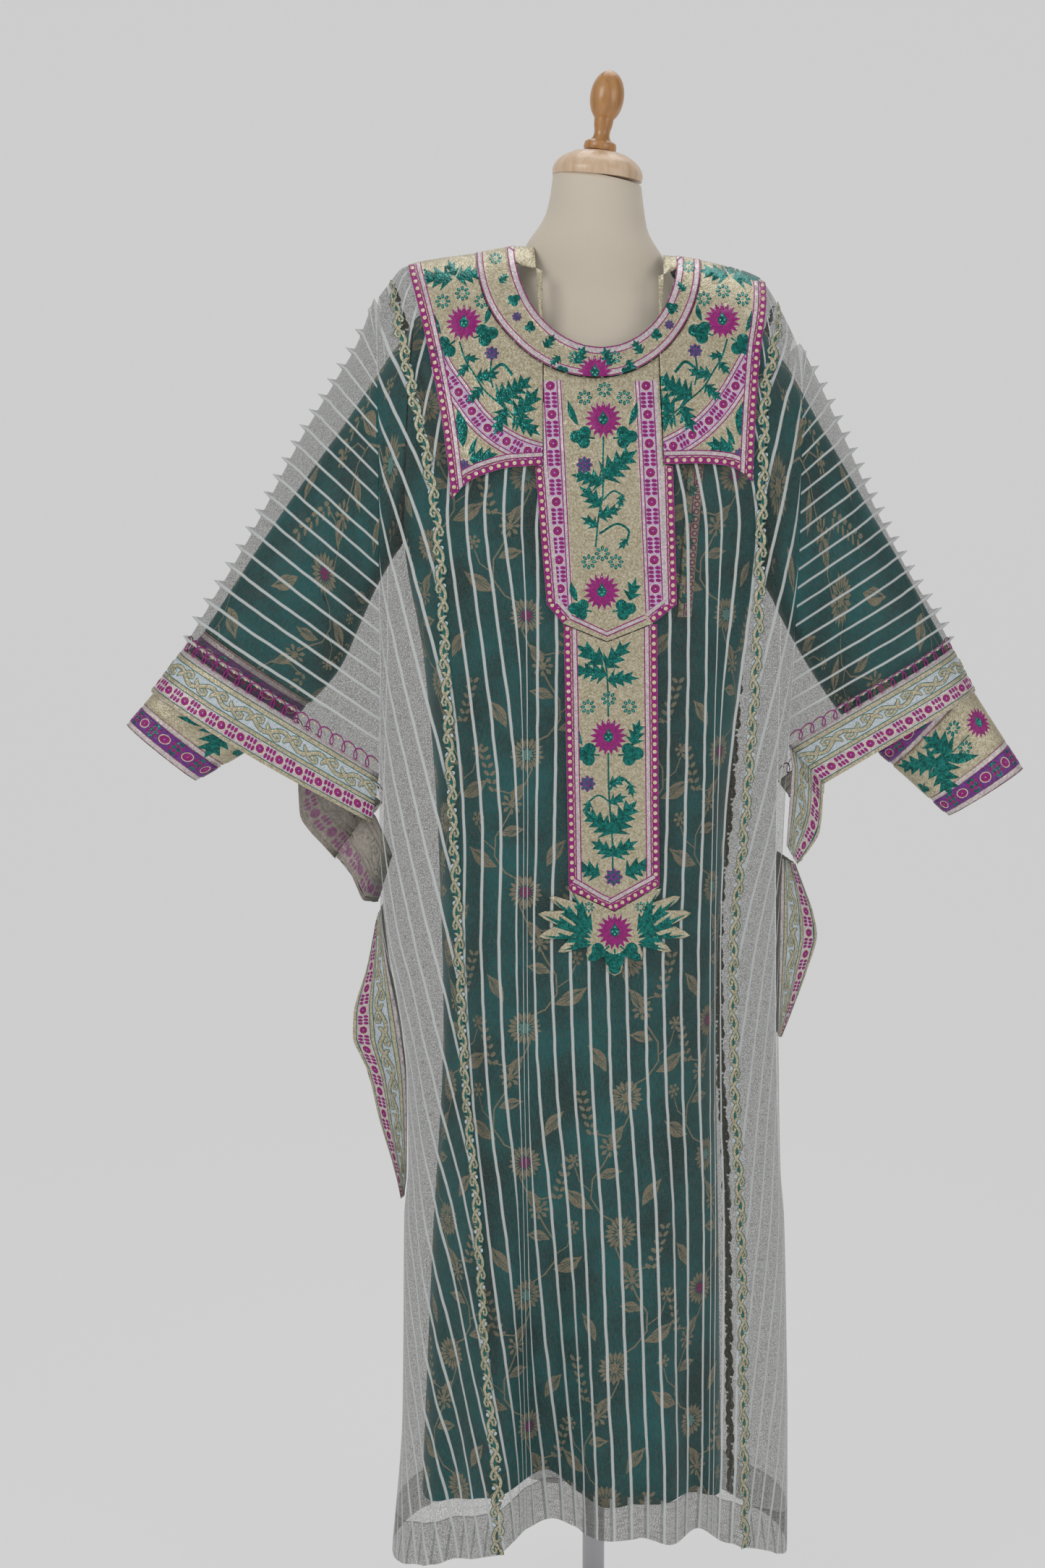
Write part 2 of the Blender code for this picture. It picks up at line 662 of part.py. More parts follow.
def dress_form():
    jersey = material_of("jersey", JERSEY, 0.85)
    beech = material_of("beech", BEECH, 0.35)
    steel = material_of("steel", STEEL, 0.3, 1.0)
    rows = []
    for i in range(FORM_RINGS):
        height = mix(FORM[-1].height, FORM[0].height, (i / (FORM_RINGS - 1)) ** 1.3)
        middle = read(FORM, "middle", height)
        wide = read(FORM, "half_width", height)
        leaning = min(max((height - LEAN_START) / (FORM[-1].height - LEAN_START), 0.0), 1.0)
        ring = []
        for k in range(FORM_STEPS):
            turn = 2 * math.pi * k / FORM_STEPS
            across = wide * math.cos(turn)
            deep = read(FORM, "front" if math.sin(turn) < 0 else "back", height)
            level = height - math.tan(NECK_LEAN) * leaning * across
            ring.append(Vector((middle + across, deep * math.sin(turn), level + RAISE)))
        rows.append(ring)
    loft("form_body", rows, jersey)

    turned("neck_cap", NECK_CAP, beech, (0.001, 0.0, 1.6530 + RAISE), NECK_LEAN)
    egg = []
    for degrees in range(180, 39, -20):
        turn = math.radians(degrees)
        height = FINIAL_EGG_MIDDLE - FINIAL_EGG_HALF_HEIGHT * math.cos(turn)
        egg.append((FINIAL_EGG_RADIUS * math.sin(turn), height))
    turned("finial", [*egg, *FINIAL_STEM], beech, (0.0034, 0.0, 1.6805 + RAISE), FINIAL_LEAN)

    pole_top = FORM[0].height + RAISE - SEAT_GAP
    pole_foot = STAND_BASE[0][1] + SEAT_GAP
    pole = ((0.0, pole_top), (POLE_RADIUS, pole_top), (POLE_RADIUS, pole_foot), (0.0, pole_foot))
    turned("stand_pole", pole, steel, (POLE_PLACE, 0.0, 0.0), 0.0)
    turned("stand_base", STAND_BASE, steel, (POLE_PLACE, 0.0, 0.0), 0.0)


def turned(name, profile, material, place, lean):
    """A turned piece: a profile of radii and heights, top to bottom on its outer side, swept about Z."""
    mesh = bpy.data.meshes.new(name)
    points = [(radius, 0.0, height) for radius, height in profile]
    mesh.from_pydata(points, [(i, i + 1) for i in range(len(points) - 1)], [])
    thing = finished(name, mesh, material)
    screw = thing.modifiers.new("turn", "SCREW")
    screw.steps = TURNED_STEPS
    screw.render_steps = TURNED_STEPS
    screw.use_merge_vertices = True
    screw.merge_threshold = 0.0001
    thing.location = place
    thing.rotation_euler = (0.0, lean, 0.0)
    return thing


def kandura():
    brocade = material_of("brocade", TEAL, 0.45)
    cuff_cloth = material_of("cuff_embroidery", GOLD_THREAD, 0.6)
    knees = (ARMPIT["left"], ARMPIT["right"])
    left = body_edge(KANDURA, "left")
    right = body_edge(KANDURA, "right")
    left_top = on_ridge(left, KANDURA)
    right_top = on_ridge(right, KANDURA)
    panels = {}
    for name, facing, neck_steps in (("kandura_front", -1, 8), ("kandura_back", 1, 6)):
        shoulders = KANDURA.shoulders
        neckline = neck_places(KANDURA.neck, neck_steps)
        tops = [left_top, *shoulders[0], *neckline, *shoulders[1], right_top]
        panels[facing] = panel_points(KANDURA, left, right, tops, facing, knees, 13)
        sheet(name, panels[facing], brocade, facing)

    for side, column, out in (("left", 0, -1), ("right", -1, 1)):
        armhole = [panels[-1][k][column][0] for k in range(SLEEVE_STEPS + 1)]
        armhole += [panels[1][k][column][0] for k in range(SLEEVE_STEPS - 1, 0, -1)]
        gap = Vector((out * ARMHOLE_GAP, 0.0, 0.0))
        rings = [[point + gap for point in armhole]]
        for row in SLEEVES[side][1:]:
            rings.append(sleeve_ring(row))
        tube(f"kandura_sleeve_{side}", rings[: CUFF_STATION + 1], brocade, out)
        along = Vector((out * SEAM, 0.0, -SEAM))
        cuff = [[point + along for point in rings[CUFF_STATION]]] + rings[CUFF_STATION + 1 :]
        tube(f"kandura_cuff_{side}", cuff, cuff_cloth, out)

    low, top = PLACKET_HEIGHTS
    rows = []
    for height in spaced(top, low, 6):
        places = [read(line, "across", height) for line in PLACKET_LINES]
        rows.append([on_layer(KANDURA, place, height, -1) for place in places])
    sheet("kandura_plastron_edge", rows, cuff_cloth, -1, PLACKET_APART, PLACKET_APART + EMBROIDERY)


def sleeve_ring(row):
    """Points round a flattened sleeve, from the top down the front, then up the back."""
    top = Vector((row.top_across, 0.0, row.top_height + RAISE))
    low = Vector((row.low_across, 0.0, row.low_height + RAISE))
    ring = []
    for k in range(2 * SLEEVE_STEPS):
        turn = math.pi * k / SLEEVE_STEPS
        point = (top + low) / 2 + (top - low) / 2 * math.cos(turn)
        point.y = -row.depth * math.sin(turn)
        ring.append(point)
    return ring


def tube(name, rings, material, out):
    """A sleeve, open at both ends: a surface through rings of points, with its wall inside them."""
    if out > 0:
        rings = [ring[::-1] for ring in rings]
    shape = bmesh.new()
    grid = [[shape.verts.new(point) for point in ring] for ring in rings]
    columns = len(rings[0])
    for upper, lower in zip(grid, grid[1:]):
        for i in range(columns):
            j = (i + 1) % columns
            shape.faces.new((upper[i], lower[i], lower[j], upper[j]))
    mesh = bpy.data.meshes.new(name)
    shape.to_mesh(mesh)
    shape.free()
    thing = finished(name, mesh, material)
    wall = thing.modifiers.new("wall", "SOLIDIFY")
    wall.thickness = CLOTH
    wall.offset = -1


def web_height(side, facing, share):
    return mix(WEB_TOP[side], WEB_LOW[side, facing], share)


def web_point(side, facing, share, down):
    """A point of an overdress sleeve: share runs from shoulder to border, down from the arm to the body."""
    fold = ARM_FOLD[side]
    low_height = web_height(side, facing, share)
    low_across = read(OVERDRESS.body, side, low_height) + (-WEB_GAP if side == "left" else WEB_GAP)
    across = mix(read(fold, "across", share), low_across, down)
    height = mix(read(fold, "height", share), low_height, down)
    depth = mix(read(fold, "clear", share), read(OVERDRESS.body, "edge", low_height), down)
    return Vector((across, facing * (WEB_SEAM + depth * rounded(down / WEB_ROUND)), height + RAISE))


def border_points(side, facing, down):
    """Inner and outer edge of a sleeve's border."""
    rim = BORDER_OUTER[side, facing]
    inner = web_point(side, facing, 1.0, down)
    outer = Vector((read(rim, "across", down), inner.y, read(rim, "height", down) + RAISE))
    return [inner + (outer - inner).normalized() * SEAM, outer]


def overdress():
    tulle = material_of("tulle", TULLE, 0.7)
    gold = material_of("gold_trim", GOLD_THREAD, 0.5)
    ridge_left = on_ridge(line_at(TRIM_LEFT), OVERDRESS)
    ridge_right = on_ridge(line_at(TRIM_RIGHT), OVERDRESS)
    knees = (1.24, 1.24)
    low_rows = 15
    side_steps = 5
    for facing, where in ((-1, "front"), (1, "back")):
        neckline = neck_places(OVERDRESS.neck, 8 if facing < 0 else 6)
        shoulders = OVERDRESS.shoulders
        tops = [ridge_left, *shoulders[0], *neckline, *shoulders[1], ridge_right]
        left = line_at(TRIM_LEFT, TRIMMED_SEAM)
        right = line_at(TRIM_RIGHT, -TRIMMED_SEAM)
        middle = panel_points(OVERDRESS, left, right, tops, facing, knees, low_rows)
        sheet(f"overdress_{where}", middle, tulle, facing)
        for side, line, ridge in (("left", TRIM_LEFT, ridge_left), ("right", TRIM_RIGHT, ridge_right)):
            outer = body_edge(OVERDRESS, side)
            inner = line_at(line, -TRIMMED_SEAM if side == "left" else TRIMMED_SEAM)
            outer_top = on_ridge(outer, OVERDRESS)
            tops = [mix(ridge, outer_top, rounded(i / side_steps)) for i in range(side_steps + 1)]
            if side == "left":
                points = panel_points(OVERDRESS, outer, inner, tops[::-1], facing, knees, low_rows)
                edges = [(row[-1], row[-2], other[0], other[1]) for row, other in zip(points, middle)]
            else:
                points = panel_points(OVERDRESS, inner, outer, tops, facing, knees, low_rows)
                edges = [(other[-1], other[-2], row[0], row[1]) for row, other in zip(points, middle)]
            sheet(f"overdress_side_{where}_{side}", points, tulle, facing)
            strip = []
            for left_edge, left_next, right_edge, right_next in edges:
                seam = ((left_edge[0] + right_edge[0]) / 2, left_edge[1])
                strip.append([towards(left_edge, left_next), seam, towards(right_edge, right_next)])
            # The trim's top is kept below the ridge, where the trims of front and back would touch
            strip[0] = [(mix(a[0], b[0], 0.25), b[1]) for a, b in zip(strip[0], strip[1])]
            sheet(f"scroll_trim_{where}_{side}", strip, gold, facing, APART, APART + EMBROIDERY)


def towards(start, end):
    """A place on a panel half a trim's width from one of its points, towards the next one."""
    step = end[0] - start[0]
    share = TRIM_WIDTH / 2 / step.length
    return start[0] + step * share, mix(start[1], end[1], share).normalized()


def overdress_sleeves():
    tulle = material_of("sleeve_tulle", TULLE, 0.7)
    border = material_of("border_embroidery", GOLD_THREAD, 0.55)
    downs = [0.0, 0.02, 0.07, 0.15, 0.25, 0.42, 0.70, 0.85, 1.0]
    for side in ("left", "right"):
        out = -1 if side == "left" else 1
        for facing, where in ((-1, "front"), (1, "back")):
            rows = []
            for down in downs:
                row = [web_point(side, facing, share, down) for share in spaced(0.0, 1.0, WEB_STEPS)]
                rows.append(row[::out])
            sheet(f"overdress_sleeve_{where}_{side}", with_normals(rows, facing), tulle, facing)

            rows = [border_points(side, facing, down)[::out] for down in downs]
            sheet(f"sleeve_border_{where}_{side}", with_normals(rows, facing), border, facing, -EMBROIDERY)

        facing = CASCADE_FROM[side]
        behind = Vector((0.0, -facing * (EMBROIDERY + SEAT_GAP), 0.0))
        rows = [[point + behind for point in border_points(side, facing, 1.0)[::out]]]
        for row in CASCADES[side]:
            inner = Vector((row.in_x, row.in_y, row.in_z + RAISE))
            outer = Vector((row.out_x, row.out_y, row.out_z + RAISE))
            rows.append([inner, outer][::out])
        sheet(f"sleeve_cascade_{side}", with_normals(rows, -1), border, -1, -EMBROIDERY)

        for facing, where in ((-1, "front"), (1, "back")):
            rows = []
            for row in SIDE_BORDERS[side]:
                across = read(OVERDRESS.body, side, row.height) + out * RIBBON_GAP
                depth = max(read(OVERDRESS.body, "edge", row.height), row.depth)
                inner = Vector((across, facing * depth, row.height + RAISE))
                outer = Vector((row.across, facing * row.depth, row.low + RAISE))
                rows.append([inner, outer][::out])
            sheet(f"side_border_{where}_{side}", with_normals(rows, facing), border, facing, -EMBROIDERY)


def below_ridge(across, drop):
    """A place (across, height) on the overdress, a drop below its shoulder ridge."""
    return across, read(OVERDRESS.ridge, "height", across) - drop


def band_edge(across, shift=0.0):
    """Height of the neck band's outer edge."""
    offset = min(abs((across - BAND_MIDDLE) / BAND_HALF_WIDTH), 1.0)
    return below_ridge(across, BAND_DROP * math.sqrt(1 - offset**2))[1] - shift


def band_side(out, height):
    """Place across of the neck band's outer edge at a height, left (out -1) or right (out 1) of the neck."""
    low, high = 0.0, BAND_HALF_WIDTH
    for _ in range(30):
        middle = (low + high) / 2
        if band_edge(BAND_MIDDLE + out * middle) < height:
            low = middle
        else:
            high = middle
    return BAND_MIDDLE + out * high


def between(tops, lows, steps, facing=-1):
    """Rows of points of the overdress, from one row of places (across, height) to another."""
    rows = []
    for k in range(steps + 1):
        row = []
        for top, low in zip(tops, lows):
            across = mix(top[0], low[0], k / steps)
            height = min(mix(top[1], low[1], k / steps), below_ridge(across, CROWN)[1])
            row.append(on_layer(OVERDRESS, across, height, facing))
        rows.append(row)
    return rows


def sewn(name, grid, material, facing=-1, apart=APART):
    """An embroidered piece that lies on the overdress, moved out from its points."""
    sheet(name, grid, material, facing, apart, apart + EMBROIDERY)


def neck_bands(gold):
    neck = OVERDRESS.neck
    inner = []
    outer = []
    for degrees in range(0, 181, 12):
        sine = math.sin(math.radians(degrees))
        cosine = -math.cos(math.radians(degrees))
        inner.append(below_ridge(neck.middle + neck.half_width * cosine, neck.front_drop * sine))
        outer.append(below_ridge(BAND_MIDDLE + BAND_HALF_WIDTH * cosine, BAND_DROP * sine))
    sewn("neck_band_front", between(inner, outer, 3), gold, apart=BAND_APART)

    inner = []
    outer = []
    for degrees in range(0, 181, 15):
        sine = math.sin(math.radians(degrees))
        cosine = -math.cos(math.radians(degrees))
        inner.append(below_ridge(neck.middle + neck.half_width * cosine, neck.back_drop * sine))
        reach = neck.half_width + 0.7 * BACK_BAND_WIDTH
        outer.append(below_ridge(neck.middle + reach * cosine, (neck.back_drop + BACK_BAND_WIDTH) * sine))
    sewn("neck_band_back", between(inner, outer, 1, facing=1), gold, facing=1, apart=YOKE_APART)


def yoke(side, out, gold):
    """One shoulder of the yoke: its inner edge follows the neck band, then the plastron."""
    corner = band_edge(read(PLASTRON[side], "across", 1.420)) - 0.002
    low_outer, low_inner = YOKE_LOW[side]
    top_outer = below_ridge(YOKE_OUTER[side][-1].across, CROWN)[1]
    top_inner = below_ridge(BAND_MIDDLE + out * BAND_HALF_WIDTH, CROWN)[1]
    inner = []
    outer = []
    for height in spaced(top_inner, corner, 7)[:-1] + spaced(corner, low_inner, 4):
        if height > corner:
            inner_across = band_side(out, height)
        else:
            inner_across = read(PLASTRON[side], "across", height)
        inner.append((inner_across + out * APPLIQUE_GAP, height))
        share = (top_inner - height) / (top_inner - low_inner)
        outer_height = mix(top_outer, low_outer, share)
        outer.append((read(YOKE_OUTER[side], "across", outer_height), outer_height))
    columns = between(inner, outer, YOKE_STEPS)[::out]
    sewn(f"yoke_{side}", [list(row) for row in zip(*columns)], gold, apart=YOKE_APART)


def embroidery():
    gold = material_of("gold_embroidery", GOLD_THREAD, 0.6)
    neck_bands(gold)
    yoke("left", -1, gold)
    yoke("right", 1, gold)

    left, right = PLASTRON["left"][-1].across, PLASTRON["right"][-1].across
    tops = [(across, band_edge(across, APPLIQUE_GAP)) for across in spaced(left, right, PLASTRON_STEPS)]
    left, right = UPPER_POINT[0].across, UPPER_POINT[-1].across
    lows = [(across, read(UPPER_POINT, "height", across)) for across in spaced(left, right, PLASTRON_STEPS)]
    sewn("plastron_upper", between(tops, lows, PLASTRON_STEPS), gold)

    tops = []
    for across in spaced(*LOWER_TOP, 6):
        tops.append((across, read(UPPER_POINT, "height", across) - APPLIQUE_GAP))
    left, right = LOWER_POINT[0].across, LOWER_POINT[-1].across
    lows = [(across, read(LOWER_POINT, "height", across)) for across in spaced(left, right, 6)]
    sewn("plastron_lower", between(tops, lows, 6), gold)

    tops = []
    lows = []
    for i in range(PALMETTE_STEPS + 1):
        share = i / PALMETTE_STEPS
        across = mix(*PALMETTE_SIDES, share)
        top = PALMETTE_TOP
        if LOWER_POINT[0].across < across < LOWER_POINT[-1].across:
            top = read(LOWER_POINT, "height", across) - APPLIQUE_GAP
        low = mix(PALMETTE_EDGE, PALMETTE_TIP, math.sin(math.pi * share) ** 1.5)
        low += PALMETTE_LOBE_DEPTH * math.sin(math.pi * PALMETTE_LOBES * share) ** 2
        tops.append((across, top))
        lows.append((across, low))
    sewn("palmette", between(tops, lows, 3), gold)


for thing in list(bpy.data.objects):
    bpy.data.objects.remove(thing, do_unlink=True)
outfit = bpy.data.collections.new("kandura_on_dress_form")
bpy.context.scene.collection.children.link(outfit)
dress_form()
kandura()
overdress()
overdress_sleeves()
embroidery()
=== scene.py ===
"""Brocade kandura under a sheer overdress, on a dress form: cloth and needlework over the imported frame."""

import math

import bpy
import numpy as np
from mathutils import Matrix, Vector, geometry


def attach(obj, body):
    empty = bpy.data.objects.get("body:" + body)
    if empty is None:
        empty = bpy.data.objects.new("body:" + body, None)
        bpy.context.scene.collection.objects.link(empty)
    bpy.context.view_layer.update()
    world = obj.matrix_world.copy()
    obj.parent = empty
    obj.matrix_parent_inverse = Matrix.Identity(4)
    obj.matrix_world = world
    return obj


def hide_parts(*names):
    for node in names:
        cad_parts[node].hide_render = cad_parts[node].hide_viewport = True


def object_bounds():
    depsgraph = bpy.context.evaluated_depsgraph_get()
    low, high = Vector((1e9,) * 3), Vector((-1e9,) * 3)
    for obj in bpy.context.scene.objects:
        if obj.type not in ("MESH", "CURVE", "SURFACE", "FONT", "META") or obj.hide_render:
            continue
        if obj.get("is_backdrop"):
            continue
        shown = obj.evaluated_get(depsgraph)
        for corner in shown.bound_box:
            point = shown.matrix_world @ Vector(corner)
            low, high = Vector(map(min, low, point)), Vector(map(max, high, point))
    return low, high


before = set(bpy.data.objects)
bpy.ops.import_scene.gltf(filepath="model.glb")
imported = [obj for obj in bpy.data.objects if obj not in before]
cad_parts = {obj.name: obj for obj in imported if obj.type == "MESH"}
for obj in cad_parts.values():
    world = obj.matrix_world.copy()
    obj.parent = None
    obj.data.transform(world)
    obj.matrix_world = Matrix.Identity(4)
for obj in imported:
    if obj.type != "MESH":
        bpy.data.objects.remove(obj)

solid_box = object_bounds()
for thing in bpy.context.selected_objects:
    thing.select_set(False)


# Studio
# A seamless pale grey paper sweep behind the stand, one large soft light in front at each side and one above.
def linear(code):
    """A colour written as sRGB hex, as linear RGBA."""
    parts = [int(code[i : i + 2], 16) / 255 for i in (1, 3, 5)]
    return (*[c / 12.92 if c <= 0.04045 else ((c + 0.055) / 1.055) ** 2.4 for c in parts], 1.0)


def add_node(tree, kind, result, inputs=None, **settings):
    """Adds a shader node, gives its inputs values or links from other nodes, and returns its result socket."""
    made = tree.nodes.new("ShaderNode" + kind)
    for name, value in settings.items():
        setattr(made, name, value)
    for name, value in (inputs or {}).items():
        if isinstance(value, bpy.types.NodeSocket):
            tree.links.new(value, made.inputs[name])
        else:
            made.inputs[name].default_value = value
    return made.outputs[result]


def maths(tree, operation, *values):
    return add_node(tree, "Math", "Value", dict(enumerate(values)), operation=operation)


def new_finish(name, **values):
    """A material, its node tree and its shader, with constant values on the shader's own sockets."""
    material = bpy.data.materials.new(name)
    material.use_nodes = True
    shader = material.node_tree.nodes["Principled BSDF"]
    for socket, value in values.items():
        shader.inputs[socket.replace("_", " ")].default_value = value
    return material, material.node_tree, shader


def mesh_thing(name, points, faces, finishes):
    mesh = bpy.data.meshes.new(name)
    mesh.from_pydata(points, [], faces)
    for finish in finishes:
        mesh.materials.append(finish)
    mesh.shade_smooth()
    made = bpy.data.objects.new(name, mesh)
    bpy.context.scene.collection.objects.link(made)
    return made


def aimed(name, data, place):
    """A lamp or the camera at a place, turned towards the middle of the garment."""
    made = bpy.data.objects.new(name, data)
    made.location = place
    made.rotation_euler = (Vector((-0.085, 0.0, 1.036)) - Vector(place)).to_track_quat("-Z", "Y").to_euler()
    bpy.context.scene.collection.objects.link(made)
    return made


greys = {"Base_Color": linear("#707070"), "Emission_Color": linear("#c9c9c9"), "Emission_Strength": 0.925}
sweep_finish, tree, shader = new_finish("matt_paper_sweep", Roughness=1.0, Specular_IOR_Level=0.0, **greys)
front_only = maths(tree, "SUBTRACT", 1.0, add_node(tree, "NewGeometry", "Backfacing"))
tree.links.new(front_only, shader.inputs["Alpha"])
SWEEP_WIDE, SWEEP_NEAR, SWEEP_FAR, SWEEP_HIGH, SWEEP_CURVE = 14.0, -7.0, 5.0, 8.0, 2.0
profile = [(SWEEP_NEAR, 0.0)]
for turn in np.linspace(0.0, math.pi / 2, 13):
    across = SWEEP_FAR - SWEEP_CURVE + SWEEP_CURVE * math.sin(turn)
    profile.append((across, SWEEP_CURVE - SWEEP_CURVE * math.cos(turn)))
profile.append((SWEEP_FAR, SWEEP_HIGH))
points = [(x, y, z) for y, z in profile for x in (-SWEEP_WIDE / 2, SWEEP_WIDE / 2)]
faces = [(2 * i, 2 * i + 1, 2 * i + 3, 2 * i + 2) for i in range(len(profile) - 1)]
mesh_thing("paper_sweep", points, faces, [sweep_finish])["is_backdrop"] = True

world = bpy.data.worlds.new("studio")
bpy.context.scene.world = world
world.use_nodes = True
background = world.node_tree.nodes["Background"]
background.inputs["Color"].default_value = linear("#ececec")
background.inputs["Strength"].default_value = 0.31
bpy.context.scene.view_settings.view_transform = "Standard"
for name, place, size, power in (
    ("key_light", (-2.1, -2.4, 2.9), 1.5, 35.0),
    ("fill_light", (2.3, -2.5, 2.0), 1.8, 20.0),
    ("top_light", (0.2, 0.6, 3.4), 1.6, 16.0),
):
    lamp = bpy.data.lights.new(name, "AREA")
    lamp.size = size
    lamp.energy = power
    aimed(name, lamp, place)
lens = bpy.data.cameras.new("camera")
lens.lens = 65.0
lens.sensor_fit = "VERTICAL"
lens.sensor_height = 36.0
bpy.context.scene.camera = aimed("camera", lens, (-0.085, -3.3, 1.335))


# Dress form
# A padded torso with no limbs, under cream jersey, with a beech cap and a turned finial on its neck. The steel
# pole goes up into it from a round base; its clamp sets the height.
RAISE = 0.085


def metres(*rows):
    """A table whose rows are written in millimetres."""
    return tuple(tuple(value / 1000 for value in row) for row in rows)


def curve(rows, column=1):
    """A column of a table against its first one: a smooth curve that never overshoots its rows."""
    places, values = np.array([(row[0], row[column]) for row in rows], float).T
    steps = np.diff(places)
    rises = np.diff(values) / steps
    slopes = np.zeros(len(places))
    slopes[0], slopes[-1] = rises[0], rises[-1]
    product = rises[:-1] * rises[1:]
    total = np.where(product > 0, rises[:-1] + rises[1:], 1.0)
    slopes[1:-1] = np.where(product > 0, 2 * product / total, 0.0)

    def at(place):
        place = np.clip(place, places[0], places[-1])
        i = np.clip(np.searchsorted(places, place, side="right") - 1, 0, len(steps) - 1)
        step = steps[i]
        t = (place - places[i]) / step
        ends = values[i] * (1 + 2 * t) * (1 - t) ** 2 + values[i + 1] * t * t * (3 - 2 * t)
        return ends + slopes[i] * step * t * (1 - t) ** 2 + slopes[i + 1] * step * t * t * (t - 1)

    return at


def raised_body(name, rings, finish, smooth):
    """A body drawn up ring by ring: (x, y, z, half width, half depth, lean) for each, from the bottom."""
    x, y, z, wide, deep, lean = rings[0]
    bpy.ops.mesh.primitive_circle_add(vertices=64, radius=1.0, fill_type="NGON", location=(x, y, z))
    made = bpy.context.active_object
    made.name = made.data.name = name
    bpy.ops.object.mode_set(mode="EDIT")
    bpy.ops.mesh.select_all(action="SELECT")
    bpy.ops.transform.resize(value=(wide, deep, 1.0), center_override=(x, y, z))
    for ring in rings[1:]:
        rise = (ring[0] - x, ring[1] - y, ring[2] - z)
        bpy.ops.mesh.extrude_region_move(TRANSFORM_OT_translate={"value": rise})
        bpy.ops.transform.resize(value=(ring[3] / wide, ring[4] / deep, 1.0), center_override=ring[:3])
        if ring[5] != lean:
            bpy.ops.transform.rotate(value=lean - ring[5], orient_axis="Y", center_override=ring[:3])
        x, y, z, wide, deep, lean = ring
    bpy.ops.mesh.select_all(action="SELECT")
    bpy.ops.mesh.normals_make_consistent(inside=False)
    bpy.ops.object.mode_set(mode="OBJECT")
    bpy.ops.object.transform_apply(location=True, rotation=True, scale=True)
    bpy.ops.object.shade_smooth_by_angle(angle=math.radians(smooth))
    made.data.materials.append(finish)
    made.select_set(False)
    return made


def dress(piece, slot, *nodes):
    """Hangs a piece on the root and hides the solids that it stands for. Its slot is not used."""
    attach(piece, "root")
    if nodes:
        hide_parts(*nodes)


def noise(tree, where, scale, detail=2.0, turn=0.0):
    """Noise of one scale, or of one for each axis, turned by an angle."""
    if isinstance(scale, tuple):
        sized = {"Vector": where, "Scale": scale, "Rotation": (0.0, 0.0, turn)}
        where, scale = add_node(tree, "Mapping", "Vector", sized), 1.0
    return add_node(tree, "TexNoise", "Fac", {"Vector": where, "Scale": scale, "Detail": detail})


def mapped(tree, value, low, high, start=0.0, end=1.0):
    """A value that runs from low to high while another goes from start to end."""
    limits = {"From Min": start, "From Max": end, "To Min": low, "To Max": high}
    return add_node(tree, "MapRange", "Result", {"Value": value, **limits})


def ramp(tree, value, dark, light, start=0.0, end=1.0):
    """A colour that runs from dark to light while a value goes from start to end."""
    colours = add_node(tree, "ValToRGB", "Color", {"Fac": value})
    for stop, place, code in zip(colours.node.color_ramp.elements, (start, end), (dark, light)):
        stop.position = place
        stop.color = linear(code)
    return colours


def surface(tree, shader, colour, height, strength, distance):
    """Gives a shader its colour and its fine relief."""
    relief = {"Height": height, "Strength": strength, "Distance": distance}
    tree.links.new(colour, shader.inputs["Base Color"])
    tree.links.new(add_node(tree, "Bump", "Normal", relief), shader.inputs["Normal"])


# Cotton jersey: matt, with a faint rib and a soft bloom at grazing angles. The 0.6 mm stitches are drawn at 1.6 mm.
jersey, tree, shader = new_finish("cotton_jersey", Roughness=0.92, Sheen_Weight=0.25, Sheen_Roughness=0.5)
where = add_node(tree, "TexCoord", "Object")
stitches = noise(tree, where, (620.0, 620.0, 330.0))
surface(tree, shader, ramp(tree, noise(tree, where, 9.0, 3.0), "#dacebb", "#e5dbcb"), stitches, 0.18, 0.001)

# The form's height, its middle across, its half width, and its depth before and behind the pole
FORM = metres(
    (800, -14, 142, 100, 105), (860, -14, 152, 108, 116), (940, -12, 150, 104, 110),
    (1060, -10, 122, 92, 84), (1160, -10, 134, 104, 88), (1260, -8, 156, 124, 96), (1340, -6, 164, 118, 98),
    (1420, -6, 168, 97, 92), (1450, -6, 164, 85, 84), (1480, -6, 152, 69, 72), (1505, -5, 135, 58, 60),
    (1525, -4, 110.5, 48, 49), (1542, -3, 91.5, 45, 45), (1562, -2, 81.5, 46, 46), (1575, -2, 73.5, 48, 48),
    (1587, -1, 65, 49, 50), (1600, 0, 58.5, 48, 49), (1630, 1, 53, 47, 48), (1648.7, 1, 51, 46, 47),
)
FORM_RINGS = 90
LEAN_START, NECK_LEAN = 1.45, math.radians(5.7)
middle, half_wide, front, back = (curve(FORM, column) for column in (1, 2, 3, 4))
rings = []
for height in np.linspace(FORM[0][0], FORM[-1][0], FORM_RINGS):
    lean = NECK_LEAN * max(0.0, (height - LEAN_START) / (FORM[-1][0] - LEAN_START))
    centre = (middle(height), (back(height) - front(height)) / 2, height + RAISE)
    deep = (front(height) + back(height)) / 2
    rings.append(tuple(map(float, (*centre, half_wide(height), deep, lean))))
form = raised_body("jersey_form", rings, jersey, 35)
dress(form, "jersey", "form_body")


def wood_finish(name, dark, light, roughness):
    """Oiled or varnished beech: short brown flecks and a soft grain along the turned axis, under a thin coat."""
    finish, tree, shader = new_finish(name, Roughness=roughness, Coat_Weight=0.35, Coat_Roughness=0.18)
    grain = noise(tree, add_node(tree, "TexCoord", "Object"), (150.0, 150.0, 14.0), 5.0)
    surface(tree, shader, ramp(tree, grain, dark, light, 0.32, 0.62), grain, 0.12, 0.0004)
    return finish


